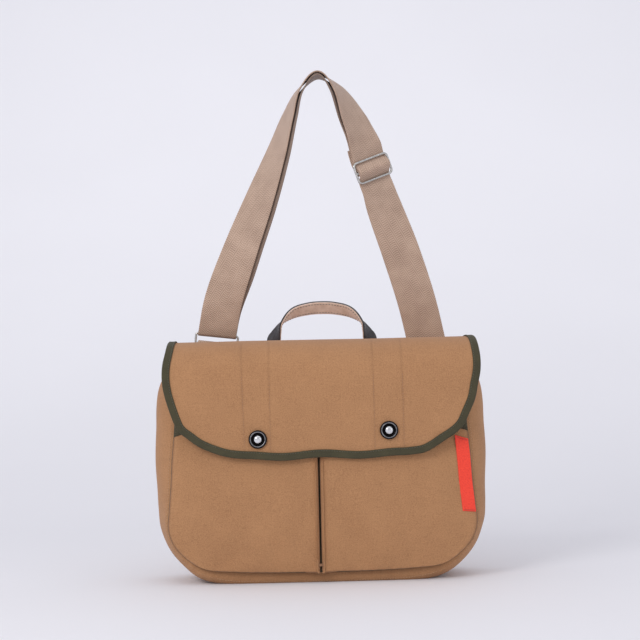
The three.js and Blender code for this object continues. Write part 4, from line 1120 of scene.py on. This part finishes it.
# distances from the slider's middle bar, in reaches of its frame
nearSlider = {"partFrom": 5, "partTo": 2.4, "dipEnd": 2.4, "slipFrom": 9, "slipTo": 4, "squareFrom": 4,
              "squareTo": 1.3}
strap["spread"] = strap["share"] * body["width"] / 2
strapRows = {
    "across": [-0.968, -0.899, -0.723, -0.528, -0.340, -0.225, -0.118, 0.054, 0.242, 0.390, 0.516,
               0.648, 0.815, 0.962, 1.046, 1.120],
    "up": [0.000, 0.130, 0.323, 0.515, 0.708, 0.842, 0.941, 1.000, 0.941, 0.823, 0.705, 0.509,
           0.314, 0.118, -0.030, -0.180],
    "lean": [0.00, 0.22, 0.45, 0.64, 0.82, 0.93, 0.98, 1.00, 0.98, 0.93, 0.82, 0.64, 0.45, 0.22,
             0.10, 0.10],
    "face": [90, 84, 66, 50, 31, 18, 6, 0, 18, 42, 55, 68, 84, 90, 90, 90],
}
bightRows = {
    "down": [-3.10, -2.20, -1.50, -1.00, -0.62, -0.385, -0.225, -0.095, 0.020, 0.150, 0.214, 0.150,
             -0.020, -0.310, -0.62, -1.00, -1.70, -2.40],
    "out": [-0.140, -0.200, -0.335, -0.385, -0.275, -0.060, 0.085, 0.195, 0.216, 0.156, 0.010,
            -0.160, -0.250, -0.360, -0.520, -0.590, -0.560, -0.470],
}
toFront = np.array([0, -1.0, 0])
depthAxis = np.array([0, 1.0, 0])
wrapRadius = strap["wire"] + body["gap"] + strap["wall"] / 2
sewnY = flap["backReach"] + body["gap"] + strap["wall"] / 2
ringY = sewnY + wrapRadius
ringHeight = flap["crownHeight"] + wrapRadius + strap["wall"] + strap["ringLift"]
strapKnots = []
for index, across in enumerate(strapRows["across"]):
    seat = sewnY if index > len(strapRows["across"]) / 2 else ringY
    level = seat - strapRows["lean"][index] * strap["lean"]
    if index > len(strapRows["across"]) - 3:
        level = sewnY
    height = ringHeight + strapRows["up"][index] * strap["rise"]
    strapKnots.append((across * strap["spread"], level, height))
tilt = math.radians(strap["ringTilt"])
ringAxis = np.array([math.cos(tilt), 0, -math.sin(tilt)])
ringDown = np.array([-math.sin(tilt), 0, -math.cos(tilt)])


def strapFrame(places):
    places = np.atleast_1d(places)
    step = 1e-3
    point = throughPoints(strapKnots, places)
    along = unit(throughPoints(strapKnots, np.minimum(places + step, 1))
                 - throughPoints(strapKnots, np.maximum(places - step, 0)))
    face = np.radians(spline(strapRows["face"], places))[:, None]
    outward = unit(np.cross(along, np.broadcast_to(depthAxis, along.shape)))
    facing = outward * np.cos(face) + toFront * np.sin(face)
    facing = unit(facing - along * np.sum(facing * along, axis=1, keepdims=True))
    return point, along, facing, unit(np.cross(along, facing))


def turnedAbout(vector, axis, angle):
    return np.array(Matrix.Rotation(angle, 3, Vector(axis)) @ Vector(vector))


sliderPoint, sliderAlong, sliderFacing, sliderAcross = (a[0] for a in strapFrame(strap["sliderPlace"]))
skew = math.radians(strap["sliderSkew"])
sliderAxis = turnedAbout(sliderAcross, sliderFacing, skew)
sliderDown = turnedAbout(sliderAlong, sliderFacing, skew)
coursePlaces = np.linspace(0, 1, 1201)
coursePoints = throughPoints(strapKnots, coursePlaces)
courseRun = np.concatenate([[0], np.cumsum(np.linalg.norm(np.diff(coursePoints, axis=0), axis=1))])


def belowSlider(places):
    return np.interp(places, coursePlaces, courseRun) - np.interp(strap["sliderPlace"], coursePlaces,
                                                                   courseRun)


def threading(down):
    over = wrapRadius + strap["wall"] + 2 * body["gap"]
    under = -wrapRadius - body["gap"] / 3
    far = np.abs(down)
    reach = strap["sliderReach"]
    inside = (over + under) / 2 + (over - under) / 2 * np.cos(np.pi * far / reach)
    return np.where(far < reach, inside, under * (1 - smooth(far, reach, nearSlider["dipEnd"] * reach)))


def widthAt(across, fromRing, down):
    # the width turns from the ring's bar to its own course and on to the slider's bars
    far = np.abs(down) / strap["sliderReach"]
    square = 1 - smooth(far, nearSlider["squareTo"], nearSlider["squareFrom"])
    apart = 1 - smooth(fromRing, strap["togetherFrom"], strap["togetherTo"])
    return unit(lerp(lerp(across, ringAxis, apart[:, None]), sliderAxis, square[:, None]))


layerRise = (strap["layerGap"] + strap["wall"]) / 2


def outerLayer(places):
    point, along, facing, across = strapFrame(places)
    fromRing = np.linalg.norm(point - coursePoints[0], axis=1)
    down = belowSlider(places)
    near = down / strap["sliderReach"]
    doubled = layerRise * (1 - smooth(near, -nearSlider["partFrom"], -nearSlider["partTo"]))
    together = smooth(fromRing, strap["togetherFrom"], strap["togetherTo"])
    rise = lerp(wrapRadius, doubled, together) + threading(down)
    return point + facing * rise[:, None], widthAt(across, fromRing, down)


def innerLayer(places):
    point, along, facing, across = strapFrame(places)
    fromRing = np.linalg.norm(point - coursePoints[0], axis=1)
    down = belowSlider(places)
    near = down / strap["sliderReach"]
    together = smooth(fromRing, strap["togetherFrom"], strap["togetherTo"])
    rise = lerp(-wrapRadius, -layerRise, together)
    slipped = 1 - smooth(near, -nearSlider["slipFrom"], -nearSlider["slipTo"])
    shift = strap["layerShift"] * smooth(fromRing, strap["shiftFrom"], strap["shiftTo"]) * slipped
    point = point + facing * rise[:, None] + across * shift[:, None]
    return point, widthAt(across, fromRing, down)


def evenPlaces(fromLength, toLength, stride):
    count = max(int(abs(toLength - fromLength) / stride), 2)
    return np.interp(np.linspace(fromLength, toLength, count), courseRun, coursePlaces)


sliderLength = float(np.interp(strap["sliderPlace"], coursePlaces, courseRun))
outerPoints, outerAcross = outerLayer(evenPlaces(courseRun[-1], 0, 1.6))
angles = np.pi * np.arange(1, 16) / 16
wrapPoints = (coursePoints[0] + toFront * (wrapRadius * np.cos(angles))[:, None]
              + ringDown * (wrapRadius * np.sin(angles))[:, None])
wrapAcross = np.broadcast_to(ringAxis, wrapPoints.shape)
join = bightRows["down"][0] * strap["sliderReach"]
innerPoints, innerAcross = innerLayer(evenPlaces(0, sliderLength + join - 11, 2.2))
bightKnots = [(down, out, 0) for down, out in zip(bightRows["down"], bightRows["out"])]
bightFlat = throughPoints(bightKnots, np.linspace(0, 1, 150)) * strap["sliderReach"]
bightPlaces = np.interp(sliderLength + bightFlat[:, 0], courseRun, coursePlaces)
bightPoints, along, facing, across = strapFrame(bightPlaces)
bightPoints = bightPoints + facing * bightFlat[:, 1:2]
bightAcross = widthAt(across, np.full(len(bightFlat), 1e6), bightFlat[:, 0])
strapPoints = np.concatenate([outerPoints, wrapPoints, innerPoints, bightPoints])
strapAcross = np.concatenate([outerAcross, wrapAcross, innerAcross, bightAcross])
webSection = bandSection(strap["width"], strap["wall"])
shade = np.full(len(strapPoints), 0.0)                 # painted shade: the inner layer and the wrap round the ring are painted darker, standing in for the outer layer's shadow
shade[len(outerPoints):len(outerPoints) + len(wrapPoints) + len(innerPoints)] = 0.55
shade = np.convolve(np.pad(shade, 7, mode="edge"), np.ones(15) / 15, mode="valid")
strapPiece = sweepPiece("shoulderStrapWeb", bandStations(strapPoints, strapAcross, webSection),
                        wearAndShade=shade)
dress(strapPiece, webbing, "webbing", "shoulder_strap")


def roundLoop(centre, across, down, halfWidth, halfHeight, radius, steps):
    points = []
    for corner in range(4):
        signX = 1 if corner in (0, 3) else -1
        signY = 1 if corner < 2 else -1
        for k in range(steps + 1):
            angle = (corner + k / steps) * math.pi / 2
            points.append(centre + across * (signX * (halfWidth - radius) + radius * math.cos(angle))
                          + down * (signY * (halfHeight - radius) + radius * math.sin(angle)))
    return np.array(points)


def filled(points, stride, closed=True):
    # the same line with its long straight runs cut into short ones
    made = []
    count = len(points)
    for k in range(count if closed else count - 1):
        a, b = points[k], points[(k + 1) % count]
        parts = max(int(np.linalg.norm(b - a) / stride), 1)
        made += [lerp(a, b, p / parts) for p in range(parts)]
    if not closed:
        made.append(points[-1])
    return np.array(made)


wireHalf = strap["width"] / 2 + strap["sideGap"] + strap["wire"]
ringCentre = coursePoints[0] + ringDown * strap["ringDrop"] / 2
ringLoop = filled(roundLoop(ringCentre, ringAxis, ringDown, wireHalf, strap["ringDrop"] / 2,
                            strap["ringCorner"], 8), 4)
ringPiece = sweepPiece("strapRingWire", tubeStations(ringLoop, depthAxis, strap["wire"], 16), True)
dress(ringPiece, metals["nickelWire"], "nickel", "strap_ring")

sliderLoop = filled(roundLoop(sliderPoint, sliderAxis, sliderDown, wireHalf, strap["sliderReach"],
                              strap["sliderCorner"] + 2, 8), 4)
sliderPiece = sweepPiece("strapSliderWire", tubeStations(sliderLoop, sliderFacing, strap["wire"], 16),
                         True)
barPoints = filled(np.array([sliderPoint - sliderAxis * wireHalf, sliderPoint + sliderAxis * wireHalf]),
                   4, False)
sliderBar = sweepPiece("strapSliderBar", tubeStations(barPoints, sliderFacing, strap["wire"], 16, False))
dress(sliderPiece, metals["nickelWire"], "nickel", "strap_slider")
dress(sliderBar, metals["nickelWire"], "nickel")


def tabLeg(side, share):
    y = -wrapRadius
    if side < 0:
        closed = float(smooth(share, 0, strap["tabClosed"]))
        y = lerp(wrapRadius, y + strap["wall"] + strap["tabGap"], closed)
    return (coursePoints[0] + ringDown * (strap["ringDrop"] + share * strap["tabLength"])
            + depthAxis * y)


tabPoints = [tabLeg(1, share) for share in np.linspace(1, 0, 24)]
ringBar = coursePoints[0] + ringDown * strap["ringDrop"]
for angle in np.pi * np.arange(1, 14) / 14:
    tabPoints.append(ringBar - depthAxis * wrapRadius * math.cos(angle)
                     - ringDown * wrapRadius * math.sin(angle))
tabPoints += [tabLeg(-1, share) for share in np.linspace(0, 1, 24)]
tabPoints = np.array(tabPoints)
tabAcross = np.broadcast_to(ringAxis, tabPoints.shape)
tabPiece = sweepPiece("ringTabWeb", bandStations(tabPoints, tabAcross,
                                                 bandSection(strap["tabWidth"], strap["wall"])))
dress(tabPiece, webbing, "webbing", "ring_tab")
print("strap threaded")


handle = {"width": 20, "wall": 3.4, "span": 55, "rise": 40, "foot": 46, "offset": 5.5, "lean": 14,
          "hide": 2.0, "stitchIn": 3.0}
handleRows = {
    "across": [1.090, 1.088, 1.084, 1.045, 1.000, 0.905, 0.620, 0.290, 0.000],
    "up": [-1.07, -0.55, 0.00, 0.14, 0.28, 0.52, 0.84, 0.96, 0.985],
    "lean": [0.00, -0.02, 0.10, 0.20, 0.32, 0.52, 0.80, 0.95, 1.00],
    "face": [90, 88, 62, 42, 26, 0, -36, -45, -47],
}
footY = flap["backReach"] + body["gap"] + handle["wall"] / 2
handleKnots, handleFaces = [], []
order = [(k, -1) for k in range(9)] + [(k, 1) for k in range(7, -1, -1)]
for k, sign in order:
    up = handleRows["up"][k]
    handleKnots.append((handle["offset"] + sign * handleRows["across"][k] * handle["span"],
                        footY - handleRows["lean"][k] * handle["lean"],
                        flap["crownHeight"] + up * (handle["foot"] if up < 0 else handle["rise"])))
    handleFaces.append(handleRows["face"][k])
places = np.linspace(0, 1, 241)
handlePoints = throughPoints(handleKnots, places)
handleAlong = unit(throughPoints(handleKnots, np.minimum(places + 1e-3, 1))
                   - throughPoints(handleKnots, np.maximum(places - 1e-3, 0)))
faces = np.radians(spline(handleFaces, places))[:, None]
outward = unit(np.cross(handleAlong, np.broadcast_to(depthAxis, handleAlong.shape)))
handleFacing = outward * np.cos(faces) + toFront * np.sin(faces)
handleFacing = unit(handleFacing - handleAlong * np.sum(handleFacing * handleAlong, axis=1, keepdims=True))
handleAcross = unit(np.cross(handleAlong, handleFacing))
handleOut = framesOf(handlePoints, handleAcross)[1]
hideMiddle = (handle["wall"] - handle["hide"]) / 2
fleshWall = handle["wall"] - handle["hide"] - 0.05
sign = np.sign(np.sum(handleOut * handleFacing))
hidePiece = sweepPiece("handleHide", bandStations(
    handlePoints + handleOut * sign * hideMiddle, handleAcross,
    bandSection(handle["width"], handle["hide"], 8, 0.45)))
dress(hidePiece, darkLeather, "leather", "handle")
fleshPiece = sweepPiece("handleUnderside", bandStations(
    handlePoints - handleOut * sign * (handle["hide"] / 2 + 0.03), handleAcross,
    bandSection(handle["width"] - 0.5, fleshWall, 8, 0.4)))
dress(fleshPiece, fleshLeather, "leather")
lines = []
for edge in (-1, 1):
    row = handlePoints + handleAcross * edge * (handle["width"] / 2 - handle["stitchIn"])
    for face in (1, -1):
        normals = handleOut * sign * face
        lines.append(spaced(row + normals * (handle["wall"] / 2 + 0.05), normals, 3.6, 3))
stitchPiece("handleStitches", lines, 2.6, 0.4, threads["leatherThread"], "leather")
print("handle stitched")


label = {"width": 16, "length": 77, "wall": 0.9, "inset": 0.9, "start": 0.045}


def labelFace(u, v):
    down = lerp(label["start"], label["start"] + label["length"] / pocket["top"], v)
    edgeX = pocketFront(1, np.zeros_like(down), down)[0]
    pocketWidth = edgeX - pocket["slotOffset"]
    across = lerp(label["inset"] + label["width"], label["inset"], u) / pocketWidth
    x, y, z, panelY = pocketFront(1, across, down)
    return points3(x, y - body["gap"] - label["wall"], z)


def labelRelief(u, v, points):
    corner = 2.6 * np.exp(-(u / 0.22) ** 2 - (v / 0.05) ** 2)         # its top corner stands off
    return corner + 0.5 * np.sin(v * 7.0 + 1.2 * u) * np.sin(np.pi * v) + 0.35 * (1 - u) * np.sin(v * 17)


labelPiece = sheetPiece("sideLabelRibbon", labelFace, np.linspace(0, 1, 15), np.linspace(0, 1, 61),
                        label["wall"], -1, labelRelief)
dress(labelPiece, orangeTape, "orange_tape", "side_label")
print("label placed")


def surfaceLine(face, relief, u, v, side, lift=0.05):
    points = face(u, v)
    normals = normalsOf(face, u, v, side)
    if relief is not None:
        points = points + normals * relief(u, v, points)[:, None]
    return points + normals * lift, normals


lines = []
for seamV in (0.036, 0.964):
    u = np.linspace(0.005, 0.995, 1400)
    points, normals = surfaceLine(gussetFace, gussetRelief, u, np.full_like(u, seamV), -1)
    lines.append(spaced(points, normals, 3.3))
stitchPiece("gussetStitches", lines, 2.5, 0.34, threads["canvasThread"], "canvas")

lines = []
for line in strapLines:
    zs = np.linspace(282, 160, 120)
    spots = [flapSpot(float(lineX(line, z)), z) for z in zs]
    u, v = np.array([s[0] for s in spots]), np.array([s[1] for s in spots])
    points, normals = surfaceLine(flapFace, flapRelief, u, v, -1)
    lines.append(spaced(points, normals, 3.3))
for seamV in (0.012, 0.03):
    u = np.linspace(0.03, 0.97, 300)
    points, normals = surfaceLine(flapFace, flapRelief, u, np.full_like(u, seamV), -1)
    lines.append(spaced(points, normals, 3.3))
stitchPiece("flapStitches", lines, 2.3, 0.3, threads["lineThread"], "canvas")

# tack across the foot of the slot, and one at each end of the label
spots = np.array([(pocket["slotOffset"], 0, z) for z in np.arange(21.0, 23.6, 0.62)])
spots[:, 1] = float(pocketFront(1, np.array(0.98), np.array(0.95))[1]) - 0.25
tackLine = (spots, np.broadcast_to([1.0, 0, 0], spots.shape), np.broadcast_to(toFront, spots.shape))
stitchPiece("slotTack", [tackLine], 6.0, 0.36, threads["lineThread"], "canvas")
lines = []
for v in (0.022, 0.978):
    u = np.linspace(0.12, 0.88, 13)
    points, normals = surfaceLine(labelFace, labelRelief, u, np.full_like(u, v), -1)
    lines.append((points, np.broadcast_to([0.0, 0, 1.0], points.shape), normals))
stitchPiece("labelTacks", lines, 2.4, 0.3, threads["labelThread"], "orange_tape")


def boxLines(place, halfWidth, length):
    # a stitched rectangle with its diagonals; place(across, down) gives a point and its normal
    corners = [(-halfWidth, 0), (halfWidth, 0), (halfWidth, length), (-halfWidth, length)]
    runs = [(corners[k], corners[(k + 1) % 4]) for k in range(4)] + [(corners[0], corners[2]),
                                                                     (corners[1], corners[3])]
    made = []
    for a, b in runs:
        share = np.linspace(0, 1, 60)
        points, normals = place(lerp(a[0], b[0], share), lerp(a[1], b[1], share))
        made.append(spaced(points, normals, 3.0))
    return made


def strapEndSpot(across, down):
    places = np.interp(courseRun[-1] - 6 - down, courseRun, coursePlaces)
    points, width = outerLayer(places)
    facing = strapFrame(places)[2]
    return points + width * across[:, None] - facing * (strap["wall"] / 2 + 0.05), -facing


def tabSpot(across, down):
    share = 1 - (5 + down) / strap["tabLength"]
    points = np.array([tabLeg(-1, float(part)) for part in share])
    normals = np.broadcast_to(depthAxis, points.shape)
    return points + ringAxis * across[:, None] + normals * (strap["wall"] / 2 + 0.05), normals


lines = boxLines(strapEndSpot, strap["width"] / 2 - 4, 26)
lines += boxLines(tabSpot, strap["tabWidth"] / 2 - 4, 24)
stitchPiece("webbingStitches", lines, 2.2, 0.34, threads["webThread"], "webbing")
print("seams stitched")


stageLook = {"floor": (240, 239, 243), "depth": 4.4, "width": 14.0, "bend": 3.9, "height": 7.0}


def stageMaterial():
    material, tree, shader = startMaterial("paleSweep", 0.85)
    haze = grainOf(tree, bodyPlace(tree), 1.5, 2)
    colour = rampOf(tree, haze, [(0.3, linear(*[c - 2 for c in stageLook["floor"]])),
                                 (0.7, linear(*stageLook["floor"]))])
    tree.links.new(colour, shader.inputs["Base Color"])
    return material


def makeStage():
    profile = [(-5.0, 0.0), (stageLook["depth"] - stageLook["bend"], 0.0)]
    for k in range(1, 49):
        angle = math.pi / 2 * k / 48
        profile.append((stageLook["depth"] - stageLook["bend"] * (1 - math.sin(angle)),
                        stageLook["bend"] * (1 - math.cos(angle))))
    profile.append((stageLook["depth"], stageLook["height"]))
    points, faces = [], []
    for y, z in profile:
        points += [(-stageLook["width"] / 2, y, z), (stageLook["width"] / 2, y, z)]
    for k in range(len(profile) - 1):
        faces.append([2 * k, 2 * k + 1, 2 * k + 3, 2 * k + 2])
    piece = makeMesh("sweepFloor", np.array(points) / mm, faces)
    piece.data.materials.append(stageMaterial())


makeStage()

view = {"distance": 2200, "azimuth": 1.0, "aside": 2.8, "height": 315, "roll": 1.3, "focal": 1791.7,
        "sensor": 36}
turn = math.radians(view["azimuth"])
cameraData = bpy.data.cameras.new("studioCamera")
cameraData.sensor_width = view["sensor"]
cameraData.lens = view["focal"] / 640 * view["sensor"]
cameraData.clip_end = 50
camera = bpy.data.objects.new("studioCamera", cameraData)
camera.location = ((view["aside"] - view["distance"] * math.sin(turn)) * mm,
                   -view["distance"] * math.cos(turn) * mm, view["height"] * mm)
forward = Vector((math.sin(turn), math.cos(turn), 0))
level = Vector((math.cos(turn), -math.sin(turn), 0))
roll = math.radians(view["roll"])
cameraRight = level * math.cos(roll) - Vector((0, 0, 1)) * math.sin(roll)
cameraUp = Vector((0, 0, 1)) * math.cos(roll) + level * math.sin(roll)
camera.rotation_mode = "QUATERNION"
camera.rotation_quaternion = Matrix((cameraRight, cameraUp, -forward)).transposed().to_quaternion()
bpy.context.scene.collection.objects.link(camera)
bpy.context.scene.camera = camera

lights = [
    {"name": "overhead", "at": (0.1, -0.4, 2.6), "to": (0, 0.1, 0.2), "size": (2.4, 2.0), "power": 7},
    {"name": "frontLeft", "at": (-1.7, -2.3, 1.9), "to": (0, 0, 0.2), "size": (1.1, 1.1), "power": 30},
    {"name": "frontRight", "at": (2.1, -2.2, 1.1), "to": (0, 0, 0.25), "size": (1.8, 1.8), "power": 5},
    {"name": "backWash", "at": (0, 1.5, 2.3), "to": (0, 4.4, 1.1), "size": (3.4, 1.0), "power": 14},
]
for lamp in lights:
    data = bpy.data.lights.new(lamp["name"], "AREA")
    data.shape = "RECTANGLE"
    data.size, data.size_y = lamp["size"]
    data.energy = lamp["power"]
    lampObject = bpy.data.objects.new(lamp["name"], data)
    lampObject.location = lamp["at"]
    aim = Vector(lamp["to"]) - Vector(lamp["at"])
    lampObject.rotation_mode = "QUATERNION"
    lampObject.rotation_quaternion = aim.to_track_quat("-Z", "Y")
    bpy.context.scene.collection.objects.link(lampObject)

world = bpy.data.worlds.new("paleRoom")
world.use_nodes = True
world.node_tree.nodes["Background"].inputs[0].default_value = (0.93, 0.94, 1.0, 1)
world.node_tree.nodes["Background"].inputs[1].default_value = 0.7
bpy.context.scene.world = world
bpy.context.scene.view_settings.view_transform = "Standard"
print("stage lit")
